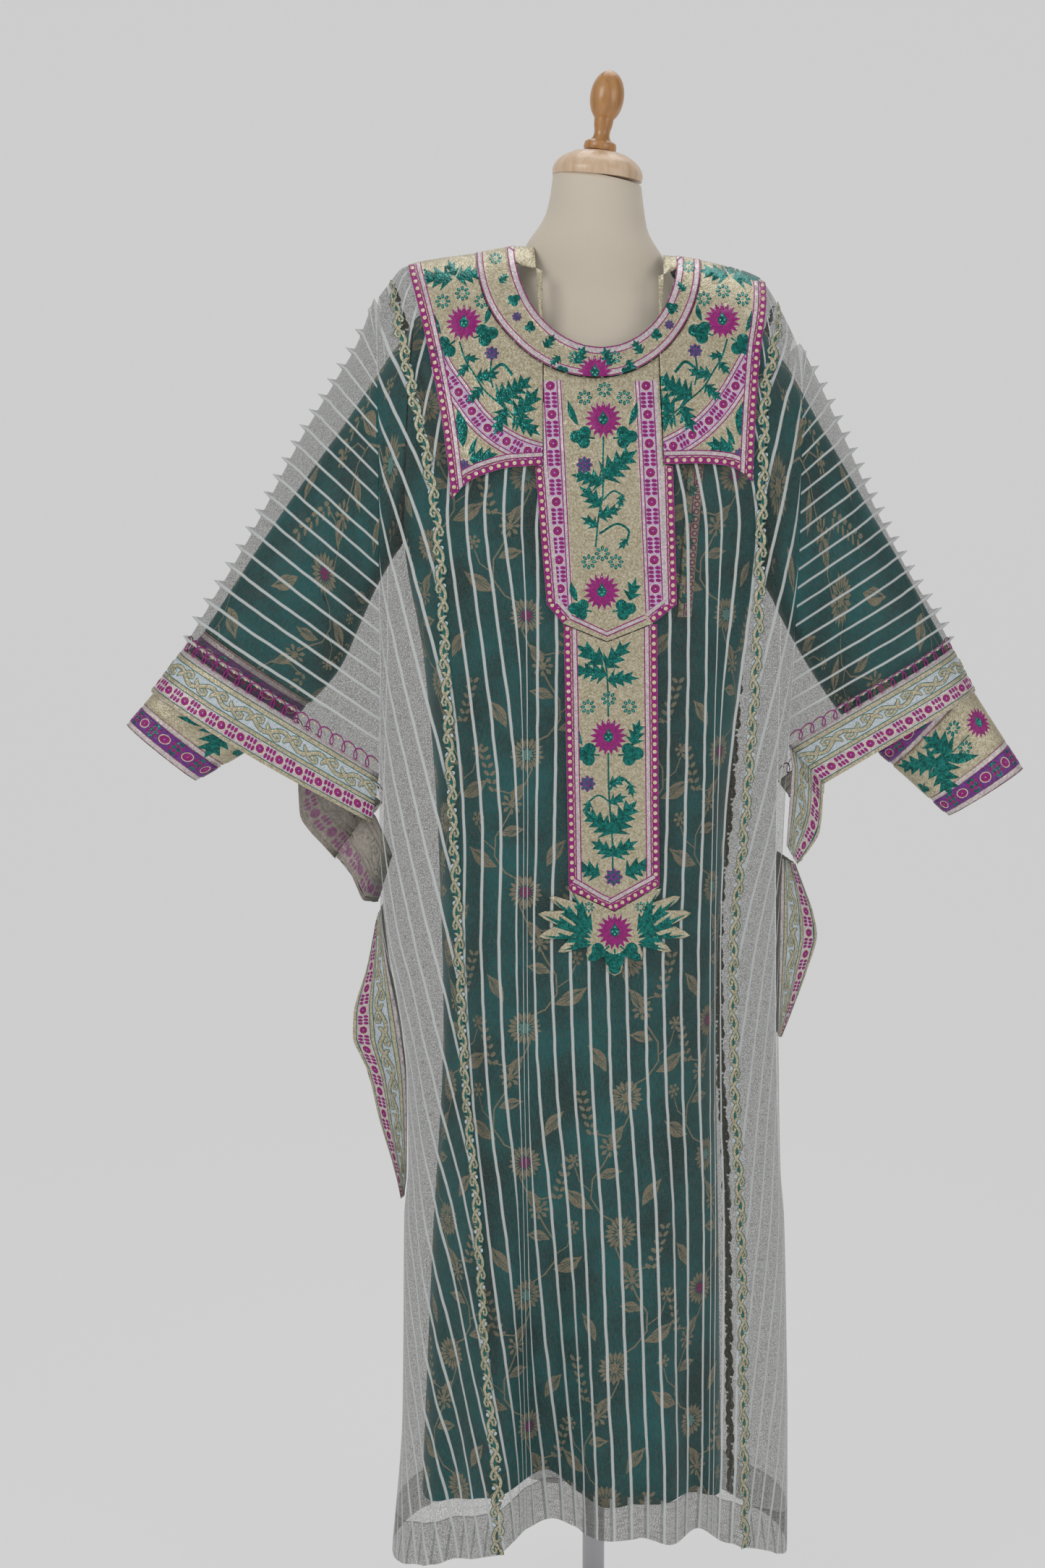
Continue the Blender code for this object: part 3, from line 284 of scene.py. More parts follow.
def turned_piece(name, node, profile, place, lean, finish, slot):
    """A lathe-turned piece from its radii and heights, bottom to top, set down leaning a little to the right."""
    rings = [(0.0, 0.0, height, radius, radius, 0.0) for radius, height in profile]
    made = raised_body(name, rings, finish, 30)
    made.rotation_euler = (0.0, lean, 0.0)
    made.location = place
    made.select_set(True)
    bpy.ops.object.transform_apply(location=True, rotation=True, scale=True)
    made.select_set(False)
    dress(made, slot, node)


light_beech = wood_finish("beech_varnished", "#d6b492", "#e6caac", 0.38)
oiled_beech = wood_finish("beech_oiled", "#b07c49", "#c8955f", 0.34)
cap = metres(
    (51.5, -4), (52.2, 1), (51.8, 4.4), (50.5, 8), (47.4, 12.8), (43, 17), (37.5, 20.7), (31, 24),
    (24.5, 25.8), (18, 26.8), (0.1, 27),
)
turned_piece("beech_neck_cap", "neck_cap", cap, (0.001, 0.0, 1.6530 + RAISE), NECK_LEAN, light_beech, "beech")
spindle = metres(
    (18, 0), (18.8, 2), (18.8, 5), (18, 8.5), (16, 10), (11.5, 12), (9.8, 15), (9, 18.5), (9.2, 23),
    (10.5, 28),
)
ball = [(0.0195 * math.sin(turn), 0.0610 - 0.0300 * math.cos(turn)) for turn in np.radians(range(35, 180, 6))]
finial_place = (0.0034, 0.0, 1.6805 + RAISE)
turned_piece("beech_finial", "finial", (*spindle, *ball), finial_place, math.radians(8.0), oiled_beech, "beech")

# Satin nickel-plated steel tube and base: even grey metal with fine turning marks
steel, tree, shader = new_finish("steel_nickel_plated", Metallic=1.0, Roughness=0.34, Base_Color=linear("#b3b3b5"))
marks = noise(tree, add_node(tree, "TexCoord", "Object"), (20.0, 20.0, 900.0))
tree.links.new(mapped(tree, marks, 0.26, 0.42), shader.inputs["Roughness"])
pole = metres(
    (12.6, 34.3), (13, 34.7), (13, 884.3), (12.6, 884.7),
)
foot = metres(
    (169, 0), (170, 2), (169.8, 5.5), (168, 9), (164, 11.2), (150, 14), (120, 15.8), (50, 20), (40, 23.4),
    (34, 28), (31.8, 31.8), (28, 34),
)
for name, profile in (("pole", pole), ("base", foot)):
    turned_piece("steel_" + name, "stand_" + name, profile, (0.0, 0.0, 0.0), 0.0, steel, "steel")


# Kandura, front and back
# The inner dress: silk brocade, cut as a front and a back panel with set-in sleeves, and open at neck and hem.
# Its flower sprays are woven in, so they are faces of the cloth itself.
SEAM = 0.0006
FOLD_END = 0.085
# Folds that both dresses share, in front and behind: place across at the top and the hem, the height where each
# starts, its half width and its depth
FOLDS = {
    -1: metres(
        (-62, -52, 860, 36, 58), (-112, -112, 950, 22, -16), (-175, -165, 1150, 18, 22),
        (4, 10, 800, 24, -10), (104, 116, 850, 22, 28), (76, 80, 850, 18, -10), (186, 192, 1050, 16, 14),
    ),
    1: metres(
        (-150, -160, 1050, 26, 26), (-96, -104, 1000, 22, -14), (-40, -46, 950, 26, 34),
        (14, 12, 1000, 22, -14), (66, 70, 950, 26, 32), (122, 130, 1050, 22, -12), (172, 182, 1050, 20, 18),
    ),
}


def layer_of(body, ridge, neck, hems, creases):
    """A layer of cloth from its tables.

    body has its height, left and right edge, depth in front and behind, and depth at the side; ridge and hems
    have a height for a place across; neck is (middle, half width, drop in front, drop behind).
    """
    made = {name: curve(body, i + 1) for i, name in enumerate(("left", "right", -1, 1, "edge"))}
    hems = {facing: curve(rows) for facing, rows in hems.items()}
    return {**made, "ridge": curve(ridge), "neck": neck, "hem": hems, "creases": creases}


def depth_of(layer, across, height, facing):
    """Distance of a layer before (facing -1) or behind (1) the plane y = 0, with its folds and creases."""
    left, right, edge = (layer[name](height) for name in ("left", "right", "edge"))
    offset = np.abs((2 * across - left - right) / (right - left))
    share = np.maximum(0.0, 1 - offset**2.5) ** 0.4
    depth = edge + (layer[facing](height) - edge) * share
    for top, hem, start, half_width, deep in FOLDS[facing] + layer["creases"][facing]:
        fall = np.clip((start - height) / (start - FOLD_END), 0.0, 1.0)
        middle = top + (hem - top) * fall
        depth = depth - deep * np.exp(-(((across - middle) / half_width) ** 2)) * fall**1.3 * share
    roll = np.clip((layer["ridge"](across) - height) / 0.08, 0.0, 1.0)
    return SEAM + (depth - SEAM) * np.sqrt(1 - (1 - roll) ** 2)


def on_layer(layer, across, height, facing, off=0.0):
    """Points of a layer, moved off it along its normal."""
    step = 0.0005
    across, height = np.asarray(across, float), np.asarray(height, float)
    left, right = (depth_of(layer, across + way, height, facing) for way in (-step, step))
    lower, upper = (depth_of(layer, across, height + way, facing) for way in (-step, step))
    normal = np.stack([left - right, facing * 2 * step + 0 * across, lower - upper], axis=-1)
    normal /= np.linalg.norm(normal, axis=-1, keepdims=True)
    spot = np.stack([across, facing * depth_of(layer, across, height, facing), height + RAISE], axis=-1)
    return spot + normal * np.asarray(off)[..., None]


def laid_on(layer, off=0.0, facing=-1, across_of=None):
    """The place function of what lies on a layer, drawn as seen from the front, or unrolled with across_of."""
    def place(flat, lift):
        across = across_of(*flat.T) if across_of else flat[:, 0]
        return on_layer(layer, across, flat[:, 1], facing, off + lift)

    return place


def neck_edge(layer, across, facing):
    """Height of a layer's upper edge: the shoulder ridge, or the neckline inside the neck's width."""
    middle, half_width, front_drop, back_drop = layer["neck"]
    inside = np.maximum(0.0, 1 - ((across - middle) / half_width) ** 2)
    return layer["ridge"](across) - (front_drop if facing < 0 else back_drop) * np.sqrt(inside)


def on_ridge(line, layer):
    """Place across where a line that gives a place for a height meets the shoulder ridge."""
    place = 0.0
    for _ in range(30):
        place = float(line(layer["ridge"](place)))
    return place


KANDURA = layer_of(
    metres(
        (100, -205, 152, 140, 140, 0.6), (400, -192, 147, 138, 138, 0.6), (680, -178, 142, 136, 132, 0.6),
        (900, -184, 152, 136, 128, 0.6), (1100, -200, 172, 136, 124, 0.6), (1215, -220, 186, 136, 123, 0.6),
        (1240, -222, 187, 135, 122, 10), (1260, -221, 187, 134, 122, 34), (1300, -219, 188, 131, 121, 62),
        (1366, -215, 190, 122, 118, 78), (1420, -212, 193, 106, 112, 82), (1450, -210, 195, 93, 106, 82),
        (1500, -208, 196, 72, 94, 78), (1560, -208, 196, 62, 82, 70),
    ),
    metres(
        (-208, 1490), (-170, 1518), (-130, 1540), (-97, 1556), (93, 1546), (125, 1533), (160, 1508),
        (196, 1474),
    ),
    (-0.002, 0.095, 0.108, 0.022),
    {
        -1: metres(
            (-205, 108), (-150, 128), (-104, 146), (-60, 158), (-21, 140), (20, 131), (100, 131),
            (152, 112),
        ),
        1: metres(
            (-205, 108), (-90, 124), (60, 124), (152, 112),
        ),
    },
    {
        -1: metres(
            (-20, -14, 900, 10, 6), (46, 40, 800, 9, 5), (-140, -134, 1000, 10, 6), (128, 138, 1000, 10, 5),
        ),
        1: metres(
            (-70, -76, 950, 9, 5), (40, 44, 900, 10, 6), (96, 102, 1000, 9, 4),
        ),
    },
)


def shape(finish, high, outlines, ridge=()):
    """A stitched or woven shape: its outlines, points along its raised middle, its finish, and its height."""
    return finish, high, [np.asarray(o, float) for o in outlines], np.asarray(ridge, float).reshape(-1, 2)


def oval(finish, high, half_long, half_wide, sides=8):
    turns = 2 * math.pi * np.arange(sides) / sides
    outline = np.stack([half_wide * np.cos(turns), half_long * np.sin(turns)], axis=1)
    return [shape(finish, high, [outline], [(0.0, 0.0)])]


def star(finish, high, points, tip, root, narrow=0.25):
    """A flower seen from above, with pointed petals whose tips stand out from its middle."""
    outline = []
    for i in range(points):
        turn = 2 * math.pi * i / points + math.pi / 2
        for shift, reach in ((-0.5, root), (-narrow, 0.5 * (root + tip)), (0.0, tip), (narrow, 0.5 * (root + tip))):
            bearing = turn + shift * 2 * math.pi / points
            outline.append((reach * math.cos(bearing), reach * math.sin(bearing)))
    ring = [(0.5 * root * math.cos(a), 0.5 * root * math.sin(a)) for a in np.arange(6) * math.pi / 3]
    return [shape(finish, high, [outline], [(0.0, 0.0), *ring])]


def aside_of(line):
    """Unit steps to the left of a line at each of its points."""
    ahead = np.gradient(line, axis=0)
    ahead /= np.maximum(np.linalg.norm(ahead, axis=1, keepdims=True), 1e-9)
    return np.stack([-ahead[:, 1], ahead[:, 0]], axis=1)


def stroke(finish, high, points, width):
    """A couched cord along a line; width is one number, or one for each point."""
    points = np.asarray(points, float)
    aside = aside_of(points) * np.broadcast_to(width, len(points))[:, None] / 2
    left, right = points + aside, points - aside
    quads = [(right[i], right[i + 1], left[i + 1], left[i]) for i in range(len(points) - 1)]
    return [shape(finish, high, quads, points)]


def leaf(finish, high, length, widths, bend=0.0):
    """A leaf that starts at (0, 0) and points up, from its half widths on the way and its turn in degrees."""
    count = len(widths)
    bearing = math.pi / 2 + math.radians(bend) * np.linspace(-0.5, 0.5, count + 2)
    steps = length / (count + 1) * np.stack([np.cos(bearing), np.sin(bearing)], axis=1)
    spine = np.vstack([[0.0, 0.0], np.cumsum(steps[1:], axis=0)])
    aside = np.stack([-np.sin(bearing[1:-1]), np.cos(bearing[1:-1])], axis=1)
    half = np.asarray(widths, float)[:, None]
    rise = steps[1:-1] * 0.35 * (half > half.mean())
    left = spine[1:-1] + aside * half + rise
    right = spine[1:-1] - aside * half + rise
    return [shape(finish, high, [np.vstack([spine[:1], right, spine[-1:], left[::-1]])], spine[1:-1])]


def set_down(shapes, x, y, turn=0.0, size=1.0, mirror=False):
    """Shapes at a place, turned in degrees anticlockwise, and mirrored left to right first if asked."""
    c, s = size * math.cos(math.radians(turn)), size * math.sin(math.radians(turn))
    matrix = np.array([[-c, -s] if mirror else [c, s], [-s, c]])
    put = []
    for finish, high, outlines, ridge in shapes:
        put.append((finish, high, [o @ matrix + (x, y) for o in outlines], ridge @ matrix + (x, y)))
    return put


def placed(*rows):
    """Motifs set down in a row of calls: each row is a motif, its place in millimetres, and its turn."""
    return [part for motif, x, y, *turn in rows for part in set_down(motif, x / 1000, y / 1000, *turn)]


def cloth_from(name, shapes, spacing, place, finishes, wall=0.0, flip=False, clip=True, reverse=0):
    """Cloth or needlework drawn flat as shapes, the later over the earlier, then laid on its form by place.

    The first shape is the ground; clip drops all that lies outside it. place takes flat points and their
    height above the cloth, and gives points in space. The finishes of the wall's back come reverse later in
    the list.
    """
    verts, edges, drawn_outlines = [], [], []
    for index, (_, _, outlines, ridge) in enumerate(shapes):
        for outline in outlines:
            first, count = len(verts), len(outline)
            edges += [(first + k, first + (k + 1) % count) for k in range(count)]
            drawn_outlines.append((index, outline))
            verts += outline.tolist()
        verts += ridge.tolist()
    if spacing:
        low, high = shapes[0][2][0].min(axis=0), shapes[0][2][0].max(axis=0)
        for k, y in enumerate(np.arange(low[1] + spacing / 2, high[1], spacing * 0.87)):
            verts += [[x, y] for x in np.arange(low[0] + spacing * (0.25 + 0.5 * (k % 2)), high[0], spacing)]
    drawn = geometry.delaunay_2d_cdt([Vector(v) for v in verts], edges, [], 0, 1e-6)
    flat, triangles = np.array([tuple(v) for v in drawn[0]]), np.array(drawn[2])

    # Each triangle belongs to the last shape that its middle lies in
    centres = flat[triangles].mean(axis=1)
    order = np.argsort(centres[:, 0])
    reach = centres[order, 0]
    owners = np.full(len(triangles), -1)
    for index, outline in drawn_outlines:
        low, high = outline.min(axis=0), outline.max(axis=0)
        near = order[np.searchsorted(reach, low[0]) : np.searchsorted(reach, high[0])]
        near = near[(centres[near, 1] > low[1]) & (centres[near, 1] < high[1])]
        if clip and index:
            near = near[owners[near] >= 0]
        x, y = centres[near].T
        (x0, y0), (x1, y1) = outline.T[..., None], np.roll(outline, -1, axis=0).T[..., None]
        level = np.where(y1 == y0, 1e-12, y1 - y0)
        crossed = ((y0 > y) != (y1 > y)) & (x < x0 + (x1 - x0) * (y - y0) / level)
        owners[near[crossed.sum(axis=0) % 2 == 1]] = index
    triangles, owners = triangles[owners >= 0], owners[owners >= 0]

    # Points inside a shape stand at its height, and those at its edge low down
    corners = triangles.ravel()
    least, most = np.full(len(flat), len(shapes)), np.full(len(flat), -1)
    np.minimum.at(least, corners, np.repeat(owners, 3))
    np.maximum.at(most, corners, np.repeat(owners, 3))
    highs = np.array([entry[1] for entry in shapes] + [0.0])
    lift = np.where(least == most, highs[most], 0.25 * np.minimum(highs[least], highs[most]))
    used, corners = np.unique(corners, return_inverse=True)
    triangles, flat, lift = corners.reshape(-1, 3), flat[used], lift[used]
    if flip:
        triangles = triangles[:, ::-1]
    made = mesh_thing(name, place(flat, lift).tolist(), triangles.tolist(), finishes)
    numbers = np.array([entry[0] for entry in shapes])[owners]
    made.data.polygons.foreach_set("material_index", numbers.astype(np.int32))
    layer = made.data.uv_layers.new(name="cloth")
    layer.data.foreach_set("uv", flat[triangles.ravel()].astype(np.float32).ravel())
    made.data.update()
    if wall:
        thickness = made.modifiers.new("wall", "SOLIDIFY")
        thickness.thickness = wall
        thickness.offset = -1.0
        thickness.material_offset = reverse
    return made


def unrolled(layer, facing):
    """Flat coordinates on a layer: u, the distance round the cloth from its middle line, and the height.

    Gives the function from flat to space, and the one from a place across to u.
    """
    low, tall, half_girth = 0.02, 1.58, 0.45
    heights = np.linspace(low, low + tall, 260)
    left, right = layer["left"](heights)[:, None], layer["right"](heights)[:, None]
    across = left + (right - left) * np.linspace(0.0, 1.0, 241)
    depth = depth_of(layer, across, heights[:, None] + 0 * across, facing)
    steps = np.hypot(np.diff(across, axis=1), np.diff(depth, axis=1))
    length = np.hstack([np.zeros((len(heights), 1)), np.cumsum(steps, axis=1)])
    length -= length[:, 120:121]
    reach = np.linspace(-half_girth, half_girth, 451)
    table = np.stack([np.interp(reach, length[k], across[k]) for k in range(len(heights))])

    def sample(grid, share, height):
        i = np.clip(share * (grid.shape[1] - 1), 0, grid.shape[1] - 1.001)
        k = np.clip((height - low) / tall * 259, 0, 258.999)
        a, b = i.astype(int), k.astype(int)
        lower, upper = (grid[row, a] * (1 - (i - a)) + grid[row, a + 1] * (i - a) for row in (b, b + 1))
        return lower * (1 - (k - b)) + upper * (k - b)

    def across_of(u, height):
        return sample(table, (u + half_girth) / (2 * half_girth), height)

    def u_of(place, height):
        share = (place - layer["left"](height)) / (layer["right"](height) - layer["left"](height))
        return sample(length, share, height)

    return across_of, u_of


# Silk brocade ground: a smooth teal satin with a fine twill and soft bright streaks. The 0.4 mm threads are
# drawn 1.1 mm apart.
teal_silk, tree, shader = new_finish("silk_satin_teal", Sheen_Weight=0.0, Specular_IOR_Level=0.22, Roughness=0.42)
where = add_node(tree, "TexCoord", "UV")
twill = noise(tree, where, (900.0, 120.0, 1.0), 2.0, 0.5)
both = maths(tree, "MULTIPLY", maths(tree, "ADD", noise(tree, where, 14.0), twill), 0.5)
surface(tree, shader, ramp(tree, both, "#004a4c", "#008487", 0.38, 0.62), twill, 0.25, 0.0004)


def thread_finish(name, dark, light, grain_mm, roughness, metallic=0.0, relief=0.5):
    """Thread or bead work: grains of one size, each a little lighter or darker, that stand up as small domes."""
    finish, tree, shader = new_finish(name, Roughness=roughness, Metallic=metallic, Sheen_Weight=0.1)
    size = {"Vector": add_node(tree, "TexCoord", "UV"), "Scale": 1000.0 / grain_mm}
    grains = add_node(tree, "TexVoronoi", "Color", size)
    shade = add_node(tree, "SeparateColor", "Red", {"Color": grains})
    domes = maths(tree, "SUBTRACT", 1.0, grains.node.outputs["Distance"])
    surface(tree, shader, ramp(tree, shade, dark, light), domes, relief, 0.0006)
    return finish


# Brocading wefts: beige-gold and dyed silk floats, laid over the satin; the floats are drawn 1.2 mm wide
SATIN, GOLD_WEFT, MAGENTA_WEFT, AQUA_WEFT = range(4)
BROCADE = [
    teal_silk,
    thread_finish("brocade_weft_gold", "#a0957a", "#c4b99b", 1.2, 0.6),
    thread_finish("brocade_weft_magenta", "#8c1668", "#b0208a", 1.2, 0.55),
    thread_finish("brocade_weft_aqua", "#74b3aa", "#8fc4bb", 1.2, 0.55),
]
MM = 0.001
FLOAT = 0.2 * MM


def paisley(length, width):
    """A curled leaf with fine veins left open in it; sizes in millimetres."""
    length, width = length * MM, width * MM
    body = leaf(GOLD_WEFT, FLOAT, length, [width * k for k in (0.16, 0.34, 0.46, 0.5, 0.46, 0.36, 0.22, 0.1)], 24)
    for k in (-0.22, 0.0, 0.22):
        vein = [(k * width * (1 - t), length * (0.2 + 0.6 * t)) for t in (0.0, 0.5, 1.0)]
        body += stroke(SATIN, 0.0, vein, 0.7 * MM)
    return body


def aster(radius, petals, heart):
    """A many-petalled flower with a coloured heart; its radius is in millimetres."""
    radius *= MM
    petal = leaf(GOLD_WEFT, FLOAT, radius * 0.66, [0.9 * MM, 1.9 * MM, 2.1 * MM, 1.3 * MM])
    made = []
    for i in range(petals):
        turn = 360 * i / petals
        x, y = -0.34 * radius * math.sin(math.radians(turn)), 0.34 * radius * math.cos(math.radians(turn))
        made += set_down(petal, x, y, turn, 1.0 + 0.1 * (i % 2))
    return made + star(heart, 0.3 * MM, 7, 0.42 * radius, 0.26 * radius)


def brocade_spray(heart):
    """One repeat of the brocade: an aster, a rosette, curled leaves and a catkin on one winding stem."""
    spray = []
    for width, *line in (
        (1.9, (8, 14), (24, 22), (37, 40), (36, 62), (24, 80), (18, 92)),
        (1.7, (6, -16), (-2, -34), (-20, -44), (-38, -40)),
        (1.4, (38, 48), (52, 58), (58, 74)),
    ):
        spray += stroke(GOLD_WEFT, FLOAT, np.array(line) * MM, width * MM)
    spray += placed(
        (aster(19, 18, heart), 0, 0),
        (aster(12.5, 8, GOLD_WEFT), 17, 100),
        (aster(8.5, 6, GOLD_WEFT), 59, 82, 20),
        (paisley(44, 17), 34, 28, -62),
        (paisley(38, 15), -24, 30, 34),
        (paisley(30, 13), 30, 64, 74),
        (paisley(32, 13), -2, -32, 150),
    )
    bud = oval(GOLD_WEFT, FLOAT, 4.4 * MM, 2.4 * MM, 6)
    for k in range(6):
        spray += placed((bud, -42 - 3 * k, -40 + 9 * k, 50), (bud, -34 - 3 * k, -40 + 9 * k, -50))
    return spray


def brocade_repeat(low, high, left, right, start=0):
    """The sprays that fall on a piece, in columns that drop by half a repeat."""
    sprays = []
    for i, x in enumerate(np.arange(left, right + 0.07, 0.118)):
        for k, y in enumerate(np.arange(low - 0.04 + 0.078 * (i % 2), high + 0.05, 0.156)):
            heart = (MAGENTA_WEFT, GOLD_WEFT, AQUA_WEFT, GOLD_WEFT)[(i + 2 * k + start) % 4]
            sprays += set_down(brocade_spray(heart), x, y, 0, 1.0, (i + k) % 2 == 1)
    return sprays


def upright(line, low, high, count):
    """Points at equal heights of a line that gives a place across for a height."""
    heights = np.linspace(low, high, count)
    return np.stack([line(heights), heights], axis=1)


def panel_outline(layer, facing, u_of):
    """A panel as it is cut: hem, right edge, shoulders with the neckline, and left edge."""
    middle, half_width = layer["neck"][:2]
    tops = np.linspace(on_ridge(layer["left"], layer), on_ridge(layer["right"], layer), 90)
    neckline = middle - half_width * np.cos(np.linspace(0.0, math.pi, 40))
    tops = np.sort(np.concatenate([tops[np.abs(tops - middle) > half_width + 0.002], neckline]))
    feet = np.linspace(layer["left"](FOLD_END), layer["right"](FOLD_END), 80)
    top = np.stack([tops, neck_edge(layer, tops, facing) - 0.0005], axis=1)
    foot = np.stack([feet, layer["hem"][facing](feet)], axis=1)
    right = upright(layer["right"], foot[-1, 1], top[-1, 1], 160)
    left = upright(layer["left"], foot[0, 1], top[0, 1], 160)
    outline = np.vstack([foot, right[1:-1], top[::-1], left[-2:0:-1]])
    return np.stack([u_of(*outline.T), outline[:, 1]], axis=1)


def sewn_cloth(piece, slot, flat=None, area=None):
    """Puts a piece in place of the solid it is named after, which it hides.

    Its flat size is that of its UV map, or flat where it is curved.
    """
    dress(piece, slot, piece.name.rpartition("_")[0])
    mesh = piece.data
    spots = np.empty(len(mesh.loops) * 2, np.float32)
    mesh.uv_layers["cloth"].data.foreach_get("uv", spots)
    spots = spots.reshape(-1, 2).astype(float)
    drawn = 0.0
    for count in (3, 4):
        faces = [face.loop_start for face in mesh.polygons if face.loop_total == count]
        x, y = spots[np.add.outer(np.array(faces, int), np.arange(count))].transpose(2, 0, 1)
        drawn += 0.5 * np.abs(np.sum(x * np.roll(y, -1, axis=1) - y * np.roll(x, -1, axis=1), axis=1)).sum()
    wide, long = flat or np.ptp(spots, axis=0)
    area = area or min(drawn, wide * long)


for facing, name in ((-1, "kandura_front"), (1, "kandura_back")):
    across_of, u_of = unrolled(KANDURA, facing)
    outline = panel_outline(KANDURA, facing, u_of)
    reach = np.abs(outline[:, 0]).max()
    shapes = [shape(SATIN, 0.0, [outline])] + brocade_repeat(0.10, 1.55, -reach, reach, facing + 1)
    place = laid_on(KANDURA, 0.0, facing, across_of)
    panel = cloth_from(name + "_cloth", shapes, 0.0095, place, BROCADE, 0.0, facing > 0)
    sewn_cloth(panel, "brocade")


# Kandura sleeves and cuffs
# Tapered sleeves set into the armholes, straight through to the wrist, with a deep cuff of gold needlework that
# ends in a purple and teal beaded band. Both stand open.
SIDES = (("left", -1), ("right", 1))
WAYS = ((-1, "front"), (1, "back"))
# At each station down the arm: place across and height of the sleeve's top, the same of its underside, and half
# its depth. The cuff starts at station 5.
SLEEVES = {
    "left": metres(
        (-209, 1490, -223, 1240, 80), (-238, 1446, -237, 1214, 66), (-288, 1372, -256, 1180, 52),
        (-356, 1277, -276, 1135, 43), (-410, 1198, -298, 1088, 36), (-454, 1131, -332, 1048, 30),
        (-498, 1077, -392, 1000, 25), (-547, 1020, -467, 955, 19),
    ),
    "right": metres(
        (197, 1474, 188, 1215, 80), (223, 1430, 206, 1168, 66), (262, 1362, 232, 1118, 52),
        (312, 1278, 258, 1075, 43), (362, 1194, 284, 1038, 36), (413, 1104, 325, 994, 30),
        (453, 1040, 366, 958, 25), (500, 969, 414, 914, 19),
    ),
}
CUFF_STATION = 5.0


def numbered(rows):
    return [(k, *row) for k, row in enumerate(rows)]


def sleeve_place(side, turn, station):
    """A point of a sleeve: turn runs from its top down the front (pi) and up the back, station along the arm."""
    top_x, top_z, low_x, low_z, deep = (curve(numbered(SLEEVES[side]), i)(station) for i in range(1, 6))
    lean = np.cos(turn)
    x = (top_x + low_x) / 2 + (top_x - low_x) / 2 * lean
    z = (top_z + low_z) / 2 + (top_z - low_z) / 2 * lean
    y = -deep * np.sin(turn)
    ease = np.clip(1 - station, 0.0, 1.0) ** 1.5
    armhole_x = KANDURA[side](z)
    front, back = (depth_of(KANDURA, armhole_x, z, way) for way in (-1, 1))
    armhole_y = np.where(np.sin(turn) >= 0, -front, back)
    out = -0.0014 if side == "left" else 0.0014
    x = x + (armhole_x + out - x) * ease
    y = y + (armhole_y - y) * ease
    crease = np.zeros_like(x)
    creases = ((2.6, 0.16, 0.0035, 0.5), (3.1, 0.13, 0.0028, -0.4), (4.2, 0.14, 0.002, 0.5))
    for middle, width, deep, slant in creases:
        crease = crease - deep * np.exp(-(((station - middle - slant * lean) / width) ** 2))
    y = y * (1 + crease / 0.045 * np.clip(station, 0, 1))
    return np.stack([x, y, z + RAISE], axis=-1)


def run_along(line):
    """How far each point of a line lies along it."""
    return np.concatenate([[0.0], np.cumsum(np.linalg.norm(np.diff(line, axis=0), axis=1))])


def unit(vectors):
    return vectors / np.maximum(np.linalg.norm(vectors, axis=1, keepdims=True), 1e-12)


def sleeve_maps(side, first, last, girth):
    """From flat coordinates, u round the sleeve and v down it in metres, to space."""
    stations = np.linspace(first, last, 80)
    run = run_along(sleeve_place(side, np.full(80, math.pi / 2), stations))

    def at(u, v):
        return sleeve_place(side, u / girth * 2 * math.pi, np.interp(v, run, stations))

    def place(flat, lift):
        u, v = flat.T
        d = 0.0006
        v_low, v_high = np.clip(v - d, 0, run[-1]), np.clip(v + d, 0, run[-1])
        normal = unit(np.cross(at(u + d, v) - at(u - d, v), at(u, v_high) - at(u, v_low)))
        return at(u, v) + normal * (lift * (1 if side == "left" else -1))[:, None]

    return place, run[-1]


def tube_outline(girth, long, around, along):
    """The flat shape of a tube cut open along its upper side."""
    around, along = np.linspace(0.0, girth, around + 1), np.linspace(0.0, long, along + 1)
    near = [(u, 0.0) for u in around[:-1]] + [(girth, v) for v in along[:-1]]
    return near + [(u, long) for u in around[:0:-1]] + [(0.0, v) for v in along[:0:-1]]


for side, out in SIDES:
    girth = 0.44
    place, long = sleeve_maps(side, 0.0, CUFF_STATION, girth)
    shapes = [shape(SATIN, 0.0, [tube_outline(girth, long, 60, 50)])]
    shapes += brocade_repeat(0.0, long, 0.0, girth, side == "left")
    sleeve = cloth_from(f"kandura_sleeve_{side}_cloth", shapes, 0.0095, place, BROCADE, 0.0008, out > 0)
    sewn_cloth(sleeve, "brocade")

# Needlework on the cuffs and all that follows: metal thread and silk floss couched on a stiff ground, sequins and
# glass seed beads. Threads of 0.3 to 0.5 mm are drawn 1.4 mm wide, and sequins keep their 2.2 mm.
NEEDLEWORK = [
    thread_finish("metal_thread_pale_gold", "#aa9e7e", "#ddd4ba", 1.5, 0.40, 0.35, 0.6),
    thread_finish("metal_thread_silver_pink", "#c2b3b8", "#eae0de", 1.5, 0.38, 0.25, 0.5),
    thread_finish("rayon_floss_magenta", "#860d66", "#ae1a88", 1.5, 0.42),
    thread_finish("sequins_teal", "#004f49", "#158b81", 2.2, 0.25, 0.5, 0.9),
    thread_finish("rayon_floss_purple", "#5d2472", "#7f3a98", 1.6, 0.4),
    thread_finish("rayon_floss_lavender", "#c3a7cf", "#dccbe3", 1.5, 0.55),
    thread_finish("glass_beads_cream", "#d9c690", "#f3ead0", 1.6, 0.25, 0.1, 0.8),
    thread_finish("glass_beads_aqua", "#39a99f", "#83d8cd", 1.8, 0.2, 0.1, 0.8),
    thread_finish("rayon_floss_pale_blue", "#b9c4cc", "#dde5ea", 1.5, 0.5),
    thread_finish("rayon_cord_teal", "#0b5550", "#157a72", 1.4, 0.45),
]
GOLD, SILVER, MAGENTA, SEQUINS, PURPLE, LAVENDER, CREAM, AQUA, BLUE, CORD = range(10)
LOW, MID, TALL = 0.5 * MM, 0.8 * MM, 1.2 * MM


def dot(finish, high, radius, sides, x=0.0, y=0.0):
    return set_down(oval(finish, high, radius, radius, sides), x, y)


